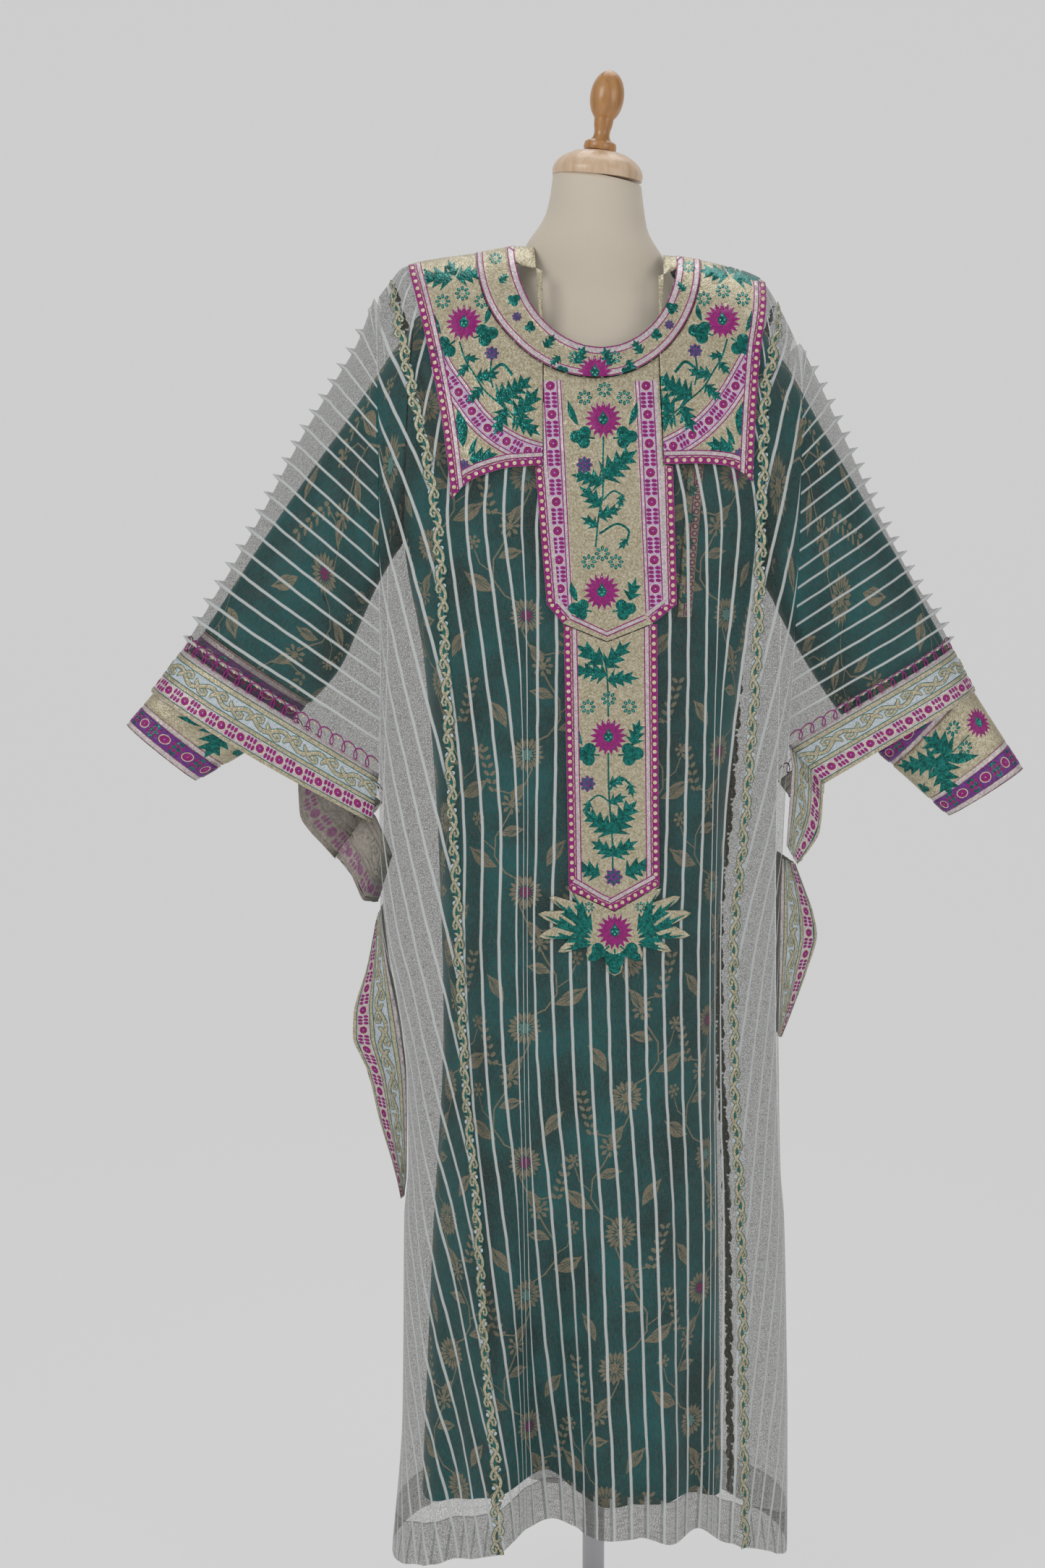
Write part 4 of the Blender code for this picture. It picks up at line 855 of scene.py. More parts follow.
def strip(finish, high, start, end, width):
    """A straight cord or band between two places."""
    count = max(2, int(np.hypot(*np.subtract(end, start)) / 0.02))
    return stroke(finish, high, np.linspace(start, end, count), width)


def beside(line, distance):
    """A line that runs beside another one, to its left."""
    line = np.asarray(line, float)
    return line + distance * aside_of(line)


def bead_repeat(pitch, circle, blobs, blob_high):
    """One repeat of a bead band: a netted circle, then two rows of long beads."""
    pitch, circle, blob_high = pitch * MM, circle * MM, blob_high * MM
    middle = -pitch / 2 + circle / 2
    made = dot(CREAM, LOW, circle / 2 + 0.8 * MM, 12, middle) + dot(MAGENTA, TALL, circle / 2, 12, middle)
    made += dot(LAVENDER, TALL, 0.9 * MM, 5, middle)
    step = (pitch - circle - 2.0 * MM) / blobs
    bead = oval(MAGENTA, MID, blob_high / 2, 0.46 * step, 7)
    for i in range(blobs):
        for row in (-0.5, 0.5):
            x = -pitch / 2 + circle + 1.4 * MM + (i + 0.5) * step
            made += set_down(bead, x, row * (blob_high + 0.8 * MM), -8)
    return made


def repeated(motif, line, pitch):
    """A motif at equal steps along a line, turned with it."""
    line = np.asarray(line, float)
    run = run_along(line)
    count = max(1, round(run[-1] / pitch))
    put = []
    for place in (np.arange(count) + 0.5) * run[-1] / count:
        i = min(np.searchsorted(run, place, side="right") - 1, len(line) - 2)
        ahead = line[i + 1] - line[i]
        spot = [np.interp(place, run, line[:, axis]) for axis in (0, 1)]
        put += set_down(motif, *spot, math.degrees(math.atan2(ahead[1], ahead[0])))
    return put


def round_outline(count, reach_at):
    """A closed outline round (0, 0) from how far out it lies at each bearing."""
    turns = 2 * math.pi * np.arange(count) / count
    return np.array([(reach_at(turn) * math.cos(turn), reach_at(turn) * math.sin(turn)) for turn in turns])


def toothed_leaf(length, width, teeth=4, bend=0.0):
    """A jagged leaf that starts at (0, 0) and points up, with pointed lobes that lean forward."""
    length, width = 1.38 * length * MM, 1.8 * width * MM
    right = [(0.06 * width, 0.04 * length)]
    for i in range(teeth):
        full = 1 - 0.55 * i / teeth
        tip, notch = (i + 1.15) / (teeth + 1.0), (i + 1.0) / (teeth + 1.0)
        right += [(0.5 * width * full, tip * length), (0.17 * width * full, notch * length)]
    outline = np.array([(0.0, 0.0), *right, (0.0, length), *[(-x, y) for x, y in reversed(right)]])
    bearing = math.radians(bend) * outline[:, 1] / length
    swung = np.stack([outline[:, 0] * np.cos(bearing), outline[:, 1] + outline[:, 0] * np.sin(bearing)], axis=1)
    swung[:, 0] -= 0.5 * math.radians(bend) * outline[:, 1] ** 2 / length
    up = np.array([0.3, 0.5, 0.7])
    rib = np.stack([-0.5 * math.radians(bend) * length * up**2, length * up], axis=1)
    return [shape(SEQUINS, MID, [swung], rib)]


def blade(length, width, bend=0.0):
    """A long pointed leaf."""
    widths = [0.65 * width * MM * k for k in (0.5, 0.85, 1.0, 0.9, 0.65, 0.35)]
    return leaf(SEQUINS, MID, 1.2 * length * MM, widths, bend)


def lobed_leaf(size):
    """A leaf with three round lobes, on a short stalk at (0, 0), pointing up."""
    size *= 1.15 * MM
    lobes = round_outline(30, lambda turn: size * 0.5 * (0.56 + 0.44 * abs(math.cos(1.5 * (turn - math.pi / 2)))))
    made = [shape(SEQUINS, MID, [lobes + (0.0, 0.55 * size)], [(0.0, 0.55 * size), (0.0, 0.8 * size)])]
    return strip(SEQUINS, MID, (0, 0), (0, 0.3 * size), 2.0 * MM) + made


def lotus(size):
    """A wide flower with pointed petals, a beaded heart and two small leaves under it."""
    size *= MM
    made = star(MAGENTA, TALL, 17, 0.50 * size, 0.33 * size, 0.22)
    for turn in np.radians(np.linspace(20, 160, 9)):
        made += dot(LAVENDER, TALL, 0.8 * MM, 5, 0.40 * size * math.cos(turn), 0.40 * size * math.sin(turn))
    heart = [(0, 24), (7, 10), (13, 6), (11, -8), (0, -15), (-11, -8), (-13, 6), (-7, 10)]
    made += [shape(SEQUINS, TALL, [np.array(heart) / 100 * size], [(0.0, 0.0)])]
    for x, y in ((0, 0.12), (-0.06, 0.0), (0.06, 0.0), (0, -0.07)):
        made += dot(AQUA, TALL, 1.1 * MM, 6, x * size, y * size)
    calyx = leaf(SEQUINS, MID, 0.2 * size, [0.05 * size, 0.04 * size])
    return set_down(calyx, 0, -0.36 * size, 70) + set_down(calyx, 0, -0.36 * size, -70) + made


def eight_petals(radius):
    """A small open flower: eight teal petals, each with a pale bead in it, round a bead."""
    radius *= MM
    made = dot(AQUA, MID, 1.1 * MM, 6)
    petal = oval(SEQUINS, LOW, 0.31 * radius, 0.20 * radius, 8) + oval(AQUA, MID, 0.14 * radius, 0.08 * radius, 5)
    for i in range(8):
        turn = math.radians(45 * i)
        made += set_down(petal, 0.66 * radius * math.sin(turn), 0.66 * radius * math.cos(turn), -45 * i)
    return made


def button_flower(radius):
    """A round purple flower with a teal bead in each petal."""
    radius *= MM
    rim = round_outline(40, lambda turn: radius * (0.86 + 0.14 * math.cos(8 * turn)))
    made = [shape(PURPLE, TALL, [rim], [(0.0, 0.0)])] + dot(SEQUINS, TALL, 0.17 * radius, 6)
    bead = oval(SEQUINS, TALL, 0.20 * radius, 0.14 * radius, 6)
    for i in range(8):
        turn = math.radians(45 * i)
        made += set_down(bead, 0.58 * radius * math.sin(turn), 0.58 * radius * math.cos(turn), -45 * i)
    return made


def trio(spread=22):
    """Three open flowers, the middle one highest."""
    flower = eight_petals(9)
    return placed((flower, 0, 0), (flower, -spread, -9), (flower, spread, -9))


# Cuffs: gold thread ground with leaves and flowers between two beaded bands
def cuff_band(middle, girth, way):
    """A purple and teal beaded band across a cuff, between pale strips and magenta cords."""
    def across(finish, high, y, width):
        return strip(finish, high, (0.0, y), (girth, y), width * MM)

    made = across(PURPLE, 0.0, middle, 21)
    count = round(girth / 0.0275)
    for i in range(count):
        made += set_down(oval(SEQUINS, LOW, 9.5 * MM, 6.0 * MM, 10), (i + 0.9) * girth / count - 5 * MM, middle)
    made += repeated(bead_repeat(27.5, 11, 3, 6.5), np.linspace((0.0, middle), (girth, middle), 3), 27.5 * MM)
    for side, width in ((way, 4.5), (-way, 5.0)):
        for finish, away, wide in ((MAGENTA, 10.8, 1.3), (SILVER, 14.0, width), (MAGENTA, 17.2, 1.4)):
            made += across(finish, MID, middle + side * away * MM, wide)
    return made


for side, out in SIDES:
    girth = 0.285
    place, long = sleeve_maps(side, CUFF_STATION + 0.012, 7.0, girth)
    shapes = [shape(GOLD, 0.0, [tube_outline(girth, long, 60, 40)])]
    shapes += cuff_band(0.019, girth, 1) + cuff_band(long - 0.018, girth, -1)
    for share in (0.25, 0.75):
        work = placed((lotus(34), -38, 0, 180), (eight_petals(8), -10, 10), (eight_petals(8), -12, -16))
        work += stroke(SEQUINS, LOW, metres((-20, 2), (0, 4), (16, -4)), 1.8 * MM)
        work += placed(
            (toothed_leaf(40, 24, 4, 14), 12, -4, -28),
            (toothed_leaf(36, 22, 4, -14), 16, -2, -118),
            (toothed_leaf(30, 18, 3), 2, 4, -165),
            (blade(34, 9, 50), 10, -2, 40),
            (lobed_leaf(17), 46, 12, -60),
        )
        shapes += set_down(work, girth * share, 0.5 * long)
    cuff = cloth_from(f"kandura_cuff_{side}_cloth", shapes, 0.006, place, NEEDLEWORK, 0.001, out > 0)
    sewn_cloth(cuff, "cuff_embroidery")

# The kandura's own plastron: its right edge shows as a strip of gold needlework with a chain of rings
inner_edge, outer_edge = curve(metres((1150, 88), (1320, 100))), curve(metres((1150, 104), (1320, 117)))
inner_line, outer_line = (upright(edge, 1.150, 1.320, 24) for edge in (inner_edge, outer_edge))
shapes = [shape(GOLD, 0.0, [np.vstack([inner_line[::-1], outer_line])])]
ring = dot(MAGENTA, MID, 3.6 * MM, 10) + dot(CREAM, TALL, 2.0 * MM, 7)
shapes += repeated(ring, beside(outer_line, 4.2 * MM), 8.2 * MM)
shapes += stroke(MAGENTA, MID, beside(outer_line, 9.0 * MM), 1.2 * MM)
for height in np.arange(1.165, 1.310, 0.030):
    sprig = placed((toothed_leaf(12, 9, 2), 0, 0, -30), (eight_petals(4), 0, 18))
    shapes += set_down(sprig, float(inner_edge(height)) + 3.0 * MM, height)
edge = cloth_from("kandura_plastron_edge_work", shapes, 0.008, laid_on(KANDURA, 0.0017), NEEDLEWORK, 0.0008)
sewn_cloth(edge, "cuff_embroidery")


# Overdress panels
# The outer dress: sheer tulle with a cotton cord stitched down every 21 mm, cut as a centre panel and two side
# panels for front and back, and open at the neck. The hem is turned up 50 mm on the inside.
OVERDRESS = layer_of(
    metres(
        (34, -241, 231, 160, 165, 0.6), (200, -228, 230, 158, 162, 0.6), (300, -226.5, 228, 156, 160, 0.6),
        (440, -225, 224, 154, 158, 0.6), (500, -220, 219, 153, 156, 4), (600, -221, 216, 152, 153, 10),
        (700, -233, 214, 151, 150, 18), (800, -250, 214, 150, 148, 28), (900, -250, 216, 150, 145, 45),
        (1000, -248, 219, 150, 142, 62), (1120, -246, 223, 150, 140, 85), (1240, -246, 226, 150, 138, 104),
        (1320, -246, 227, 146, 136, 105), (1400, -247, 228, 126, 130, 98), (1450, -248, 228, 106, 122, 88),
        (1500, -250, 227, 85, 112, 70), (1580, -251, 226, 70, 100, 50),
    ),
    metres(
        (-252, 1512), (-238, 1530), (-222, 1548), (-190, 1556), (-140, 1563), (-92, 1571), (88, 1560),
        (150, 1548), (190, 1532), (208, 1506), (230, 1462),
    ),
    (-0.002, 0.0915, 0.116, 0.030),
    {
        -1: metres(
            (-240, 34), (-180, 54), (-118, 79), (-82, 98), (-45, 104), (-10, 100), (60, 99), (92, 92),
            (118, 99), (143, 88), (190, 66), (231, 40),
        ),
        1: metres(
            (-240, 34), (-120, 66), (120, 66), (231, 40),
        ),
    },
    {
        -1: metres(
            (-30, -22, 700, 7, 7), (60, 52, 600, 7, 6), (-90, -82, 800, 6, 5), (-205, -214, 1100, 7, 10),
            (-190, -192, 950, 6, 8), (-222, -206, 1200, 6, 8), (148, 158, 850, 8, 7),
            (196, 206, 1100, 7, 10), (208, 218, 1200, 5, 7),
        ),
        1: metres(
            (-190, -200, 1100, 7, 9), (-68, -72, 900, 7, 7), (40, 44, 850, 8, 7), (100, 104, 950, 6, 6),
            (198, 204, 1100, 7, 9),
        ),
    },
)
# The long seams between the panels, as heights and places across
TRIM_LEFT = metres(
    (55, -113), (156, -114), (285, -125), (486, -137), (620, -149), (820, -158), (1053, -169), (1245, -179),
    (1331, -192), (1392, -206), (1489, -226), (1545, -236),
)
TRIM_RIGHT = metres(
    (55, 172), (280, 168), (480, 163), (603, 156), (765, 153), (931, 166), (1148, 178), (1320, 182),
    (1395, 185), (1444, 195), (1488, 204), (1545, 208),
)
TRIMS = {"left": curve(TRIM_LEFT), "right": curve(TRIM_RIGHT)}
SEAM_HALF = 0.0002
HEM_WIDE = 0.050


def corded_tulle(name, pitch, cord_wide):
    """Corded tulle: a fine hexagonal net that lets the cloth below show through, with raised matt cotton cords.

    The real 1 mm holes are drawn 2.4 mm wide. UV runs across the cords in x, and up from the hem in y, where a
    line of stitches holds the turned-up hem. On the inside the cords show only as faint lines.
    """
    finish, tree, shader = new_finish(name, Roughness=0.7, Specular_IOR_Level=0.2, Sheen_Weight=0.1)
    uv = add_node(tree, "TexCoord", "UV")
    across = add_node(tree, "SeparateXYZ", "X", {"Vector": uv})
    sway = mapped(tree, noise(tree, uv, 30.0, 1.0), -0.0011, 0.0011)
    turns = maths(tree, "MULTIPLY", maths(tree, "ADD", across, sway), 1.0 / pitch)
    away = maths(tree, "ABSOLUTE", maths(tree, "SUBTRACT", maths(tree, "FRACT", turns), 0.5))
    edge = 0.5 * cord_wide / pitch
    cord = mapped(tree, away, 1.0, 0.0, edge * 0.75, edge * 1.25)
    from_stitches = maths(tree, "ABSOLUTE", maths(tree, "SUBTRACT", across.node.outputs["Y"], HEM_WIDE))
    hem_line = mapped(tree, from_stitches, 0.55, 0.0, 0.0006, 0.0018)
    holes = {"Vector": uv, "Scale": 1000.0 / 2.4}
    cells = add_node(tree, "TexVoronoi", "Distance", holes, feature="DISTANCE_TO_EDGE")
    net = mapped(tree, cells, 0.52, 0.17, 0.05, 0.16)
    cord_cover = mapped(tree, add_node(tree, "NewGeometry", "Backfacing"), 0.92, 0.30)
    thick = maths(tree, "MULTIPLY", cord, cord_cover)
    cover = maths(tree, "MAXIMUM", maths(tree, "MAXIMUM", net, hem_line), thick)
    cotton = ramp(tree, noise(tree, uv, 700.0), "#bdc3c1", "#e3e7e5")
    colours = {"Factor": cord, "A": linear("#5d5a53"), "B": cotton}
    surface(tree, shader, add_node(tree, "Mix", "Result", colours, data_type="RGBA"), cord, 0.5, 0.001)
    tree.links.new(cover, shader.inputs["Alpha"])
    return finish


body_tulle = corded_tulle("tulle_corded_body", 0.021, 0.0036)
SLEEVE_PITCH = 0.0245
sleeve_tulle = corded_tulle("tulle_corded_sleeve", SLEEVE_PITCH, 0.0038)


def grid_cloth(name, rows, flats, finish, flip=False):
    """Thin cloth through rows of points; flats gives each point's flat place for its UV map."""
    tall, wide = rows.shape[:2]
    number = np.arange(tall * wide).reshape(tall, wide)
    corners = [number[:-1, :-1], number[1:, :-1], number[1:, 1:], number[:-1, 1:]]
    quads = np.stack([c.ravel() for c in (corners[::-1] if flip else corners)], axis=1)
    made = mesh_thing(name, rows.reshape(-1, 3).tolist(), quads.tolist(), [finish])
    layer = made.data.uv_layers.new(name="cloth")
    layer.data.foreach_set("uv", flats.reshape(-1, 2)[quads.ravel()].astype(np.float32).ravel())
    return made


def between(left, right, level, shares):
    return left(level) + (right(level) - left(level)) * shares


def panel_grid(left, right, shares, facing, off, turned_up):
    """Rows of points of a panel between two lines, from its upper edge to its hem, and their heights above the hem.

    With turned_up, only the rows of a turned-up hem of that height. Below the armholes the rows are even.
    """
    levels = np.linspace(1.30, 1.60, 1500)[:, None]
    open_above = levels >= neck_edge(OVERDRESS, between(left, right, levels, shares), facing)
    tops = levels[np.argmax(open_above, axis=0), 0]
    feet = OVERDRESS["hem"][facing](between(left, right, FOLD_END, shares))
    if turned_up:
        levels = [feet + turned_up * k for k in np.linspace(1.0, 0.0, 7)]
    else:
        armhole, upper, lower = 1.24, 28, 110
        levels = [tops + (armhole - tops) * (1 - math.cos(math.pi * k / upper)) / 2 for k in range(upper + 1)]
        levels += [armhole + (feet - armhole) * k / lower for k in range(1, lower + 1)]
    levels = np.array(levels)
    return on_layer(OVERDRESS, between(left, right, levels, shares), levels, facing, off), levels - feet


def measured_across(rows, zero):
    """How far each point lies along its row from the column numbered zero."""
    steps = np.linalg.norm(np.diff(rows, axis=1), axis=2)
    run = np.concatenate([np.zeros((len(rows), 1)), np.cumsum(steps, axis=1)], axis=1)
    return run - run[:, zero : zero + 1] if zero >= 0 else run[:, -1:] - run


def taken_in(heights, across, tucks):
    """How much cloth the narrow tucks take up between the middle and each place; it grows from the chest down."""
    fade = np.clip((1.36 - heights) / 0.50, 0.0, 1.0)
    fade = fade * fade * (3 - 2 * fade)
    out = 0.0
    for place, wide, hidden in tucks:
        out = out + 0.5 * hidden * (np.tanh((across - place) / wide) + math.copysign(1.0, place)) * fade
    return out


def panel_cloth(name, left, right, shares, facing, zero, start, lean=0.0, tucks=()):
    """A panel of corded tulle with its turned-up hem, as one piece, and its flat size before the turn-up.

    lean is how far its cords turn off the seam.
    """
    for part, off, turned_up, way, shift in (("_hem", -0.0007, HEM_WIDE, 1, 0.003), ("", 0.0, None, -1, 0.0)):
        rows, above = panel_grid(left, right, shares, facing, off, turned_up)
        across = measured_across(rows, zero) + start + way * lean * above + shift
        across = across + taken_in(rows[..., 2] - RAISE, rows[..., 0], tucks)
        made = grid_cloth(name + part, rows, np.stack([across, above], axis=2), body_tulle, facing > 0)
        made.select_set(True)
    bpy.context.view_layer.objects.active = made
    bpy.ops.object.join()
    made.select_set(False)
    return made, (float(np.ptp(across + lean * above)), float(np.ptp(above)))


def shifted(line, shift):
    return lambda height: line(height) + shift


# Tucks that take in the centre panels: place across, half width, and how much cloth each hides
TUCKS = {-1: metres((-82, 5.5, 46), (132, 6, 40)), 1: metres((-70, 6, 40), (90, 6, 44))}
for facing, where in WAYS:
    middle, half_width = OVERDRESS["neck"][:2]
    left, right = shifted(TRIMS["left"], SEAM_HALF), shifted(TRIMS["right"], -SEAM_HALF)
    from_neck = half_width * np.cos(np.linspace(0.0, math.pi, 60))
    near_neck = np.concatenate([(middle + from_neck - left(z)) / (right(z) - left(z)) for z in (1.55, 1.50, 1.45)])
    shares = np.sort(np.concatenate([np.linspace(0.0, 1.0, 101), near_neck]))
    shares = shares[np.concatenate([[True], np.diff(shares) > 0.0008])]
    rest = (left, right, shares, facing, len(shares) // 2, 0.4935, 0.0, TUCKS[facing])
    panel, _ = panel_cloth(f"overdress_{where}_tulle", *rest)
    sewn_cloth(panel, "tulle")
    for side, out in SIDES:
        seam = shifted(TRIMS[side], out * SEAM_HALF)
        shares = np.sqrt(1 - (1 - np.linspace(0.0, 1.0, 34)) ** 2)
        if side == "left":
            rest = (OVERDRESS[side], seam, 1 - shares[::-1], facing, -1)
        else:
            rest = (seam, OVERDRESS[side], shares, facing, 0)
        lean = 0.19 if facing < 0 else -0.16
        panel, flat = panel_cloth(f"overdress_side_{where}_{side}_tulle", *rest, 0.175, lean)
        sewn_cloth(panel, "tulle", flat)


# Overdress sleeves
# Each sleeve is a wide web of the same tulle, folded over the arm, with its cords running down from the fold. The
# front and the back hang apart, open below, and the cords stand out as small loops along the fold.
WEB_GAP, WEB_SEAM, WEB_ROUND, WEB_LONG = 0.0010, 0.0012, 0.35, 0.49
# The fold over the arm: thousandths of the way down it, place across, height, and distance from the arm's middle
ARM_FOLD = {
    "left": metres(
        (0, -252.5, 1510, 88), (100, -272, 1460, 80), (220, -298, 1417, 73), (420, -341, 1346, 63),
        (680, -396, 1243, 53), (880, -446, 1160, 46), (1000, -480, 1110, 42),
    ),
    "right": metres(
        (0, 230.5, 1459, 88), (140, 258, 1405, 78), (320, 290, 1338, 68), (520, 322, 1269.2, 59),
        (740, 362, 1195.5, 50), (900, 396, 1143, 45), (1000, 415, 1112, 42),
    ),
}
WEB_TOP = {"left": 1.470, "right": 1.425}
WEB_LOW = {("left", -1): 0.969, ("left", 1): 0.925, ("right", -1): 1.002, ("right", 1): 0.950}


def web_point(side, facing, share, down):
    """Points of a sleeve's web: share runs from shoulder to border, down from the arm to the body."""
    share, down = np.broadcast_arrays(np.asarray(share, float), np.asarray(down, float))
    fold_x, fold_z, clear = (curve(ARM_FOLD[side], i)(share) for i in (1, 2, 3))
    low_z = WEB_TOP[side] + (WEB_LOW[side, facing] - WEB_TOP[side]) * share
    low_x = OVERDRESS[side](low_z) + (-WEB_GAP if side == "left" else WEB_GAP)
    x = fold_x + (low_x - fold_x) * down
    z = fold_z + (low_z - fold_z) * down
    depth = clear + (OVERDRESS["edge"](low_z) - clear) * down
    rounded = np.sqrt(1 - (1 - np.clip(down / WEB_ROUND, 0, 1)) ** 2)
    free = np.clip(share * 6, 0, 1) * np.sin(math.pi * np.clip(down, 0, 1)) ** 0.7
    ripple = 0.0035 * np.sin(share * 27 + 3 * down + facing) + 0.0025 * np.sin(share * 49 - 4 * down)
    ease = np.clip((1.0 - share) * 8, 0, 1)
    # The cords' loops along the fold, which fade out at both its ends
    tooth = np.maximum(np.cos(2 * math.pi * (share * WEB_LONG / SLEEVE_PITCH - 0.5)), 0.0) ** 5
    tooth = tooth * np.clip(share * 12, 0, 1) * np.clip((1.0 - share) * 30, 0, 1)
    stand = (0.003 * ease + 0.0105 * tooth) * np.exp(-((down / 0.045) ** 2))
    x = x + (-0.87 if side == "left" else 0.88) * stand
    z = z + 0.48 * stand
    return np.stack([x, facing * (WEB_SEAM + depth * rounded + ripple * free * ease), z + RAISE], axis=-1)


def web_downs(count):
    """Steps down a web, closest together at its fold."""
    return (1 - np.cos(np.linspace(0, math.pi / 2, count))) ** 0.85


for side, out in SIDES:
    for facing, where in WAYS:
        shares = np.linspace(0.0, 1.0, 281)
        rows = web_point(side, facing, shares[None, :], web_downs(36)[:, None])
        steps = np.linalg.norm(np.diff(rows, axis=0), axis=2)
        falls = np.concatenate([np.zeros((1, 281)), np.cumsum(steps, axis=0)])
        turned = 0.0 if facing < 0 else 0.30 * np.maximum(falls - 0.03, 0.0)
        flats = np.stack([shares * WEB_LONG + turned + 0 * falls, 0.2 + falls], axis=2)
        web = grid_cloth(f"overdress_sleeve_{where}_{side}_tulle", rows, flats, sleeve_tulle, out == facing)
        sewn_cloth(web, "tulle")


# Sleeve borders and side borders
# A stiff embroidered border 61 mm wide, sewn to the edge of each web and down the open sides. It has a beaded
# band and a scroll between couched gold cords, and a row of magenta loops over its seam. Its reverse is plain.
reverse_plain = thread_finish("embroidery_reverse_grey", "#9d958b", "#b9b1a7", 1.6, 0.75)
reverse_magenta = thread_finish("embroidery_reverse_rose", "#93607f", "#a9779a", 1.6, 0.7)
REVERSE = len(NEEDLEWORK)
BOTH_FACES = NEEDLEWORK + [reverse_plain] * 2 + [reverse_magenta] + [reverse_plain] * 7
BORDER_WIDE = 0.061
# Outer edges of the sleeves' borders: thousandths of the way down, place across and height
BORDER_OUTER = {
    ("left", -1): metres((0, -518, 1061), (500, -388, 981), (1000, -259, 911)),
    ("left", 1): metres((0, -518, 1061), (700, -352, 955), (850, -350, 912), (1000, -308, 857)),
    ("right", -1): metres((0, 443, 1062), (1000, 261, 957)),
    ("right", 1): metres((0, 443, 1062), (700, 317, 982), (850, 270, 950), (1000, 262, 893)),
}
# Where a sleeve's border falls on below the web: (x, y, z) of its inner edge, then of its outer edge
CASCADES = {
    "left": metres(
        (-262, 6, 920, -300, 4, 870), (-263, -10, 921, -303, -9, 867), (-257, -22, 917, -296, -20, 861),
        (-249, -27, 901, -284, -26, 846), (-242, -24, 884, -270, -20, 816), (-238, -10, 868, -255, -2, 813),
    ),
    "right": metres(
        (225, -60, 975, 262, -40, 925), (223, -66, 948, 260, -34, 900), (221, -69, 918, 249, -34, 879),
        (219, -70, 886, 234, -38, 861),
    ),
}
# Side borders: height of the inner edge; place across, depth and height of the outer edge
SIDE_BORDERS = {
    "left": metres(
        (805, -256.5, 2, 790), (745, -268, 3, 735), (690, -284, 4, 680), (650, -285, 4, 652),
        (600, -268, 4, 612), (545, -254, 3, 552), (490, -237, 3, 494), (462, -229, 3, 458),
    ),
    "right": metres(
        (868, 234, 10, 858), (842, 246, 6, 828), (812, 256, 4, 800), (780, 261, 3, 772), (735, 250, 3, 732),
        (695, 236, 3, 692), (655, 220, 3, 652),
    ),
}


def ribbon(rows, wide, facing, off=0.0):
    """A strip between two edges: rows of (x, y, z) at its inner edge and (x, y, z) at its outer edge.

    Gives the function from flat coordinates, along it and in from its outer edge, to space, its length, and
    whether its faces have to be turned round.
    """
    columns = [curve(numbered(rows), i + 1) for i in range(6)]
    fine = np.linspace(0, len(rows) - 1, 300)
    run = run_along(np.stack([(columns[i](fine) + columns[i + 3](fine)) / 2 for i in range(3)], axis=1))

    def at(s, t):
        k = np.interp(s, run, fine)
        inner, outer = (np.stack([columns[i + j](k) for i in range(3)], axis=1) for j in (0, 3))
        return outer + (inner - outer) * (t / wide)[:, None]

    def normal(s, t):
        d = 0.0008
        low, high = np.clip(s - d, 0, run[-1]), np.clip(s + d, 0, run[-1])
        return unit(np.cross(at(high, t) - at(low, t), at(s, t + d) - at(s, t - d)))

    way = 1.0 if normal(np.array([0.0]), np.array([wide / 2]))[0, 1] * facing > 0 else -1.0

    def place(flat, lift):
        return at(*flat.T) + normal(*flat.T) * (way * (lift + off))[:, None]

    return place, run[-1], way < 0


def scroll(long, low, high, pitch):
    """A winding gold stem with a curl and a leaf in each turn, outlined in teal."""
    middle, reach = (low + high) / 2, (high - low) / 2
    count = max(1, round(long / pitch))
    pitch = long / count
    t = np.linspace(0.0, 1.0, 8)
    stem = np.stack([t, 0.56 * np.cos(math.pi * t)], axis=1)
    curl = [(0.34, 0.30), (0.50, 0.62), (0.70, 0.80), (0.87, 0.58), (0.86, 0.24), (0.70, 0.14), (0.63, 0.36)]
    tip = [(0.30, 0.12), (0.15, -0.20), (0.10, -0.62)]
    wide = 0.44 * reach
    under, over = [], []
    for i in range(count):
        way = 1 if i % 2 else -1
        for line, thick in ((stem, wide), (curl, 0.75 * wide), (tip, np.array([1.1, 0.9, 0.15]) * wide)):
            line = np.array(line) * (pitch, way * reach) + (i * pitch, middle)
            under += stroke(CORD, LOW, line, thick + 1.6 * MM)
            over += stroke(GOLD, TALL, line, thick)
    return under + over


def flat_edge(long, near, far, count=60):
    """The outline of a strip, with points along both of its long edges."""
    along = np.linspace(0.0, long, count)
    return np.vstack([np.stack([along, near + 0 * along], 1), np.stack([along[::-1], far + 0 * along], 1)])


def border_work(long):
    """The needlework of a length of border, from its outer edge in."""
    made = [shape(SILVER, 0.0, [flat_edge(long, 0.0, BORDER_WIDE)])]
    for finish, high, near, far in (
        (GOLD, MID, 0.2, 4.2),
        (CORD, LOW, 4.2, 5.2),
        (CORD, LOW, 22.0, 23.0),
        (GOLD, MID, 23.0, 27.0),
        (CORD, LOW, 27.0, 28.0),
        (BLUE, 0.0, 28.0, 48.5),
        (CORD, LOW, 48.5, 49.5),
        (GOLD, MID, 49.5, 54.5),
        (CORD, LOW, 54.5, 55.5),
    ):
        middle = (near + far) / 2 * MM
        made += strip(finish, high, (0.0, middle), (long, middle), (far - near) * MM)
    made += repeated(bead_repeat(25, 10, 3, 7.0), [(0.0, 13.6 * MM), (long, 13.6 * MM)], 25.5 * MM)
    return made + scroll(long, 28.5 * MM, 48.0 * MM, 26 * MM)


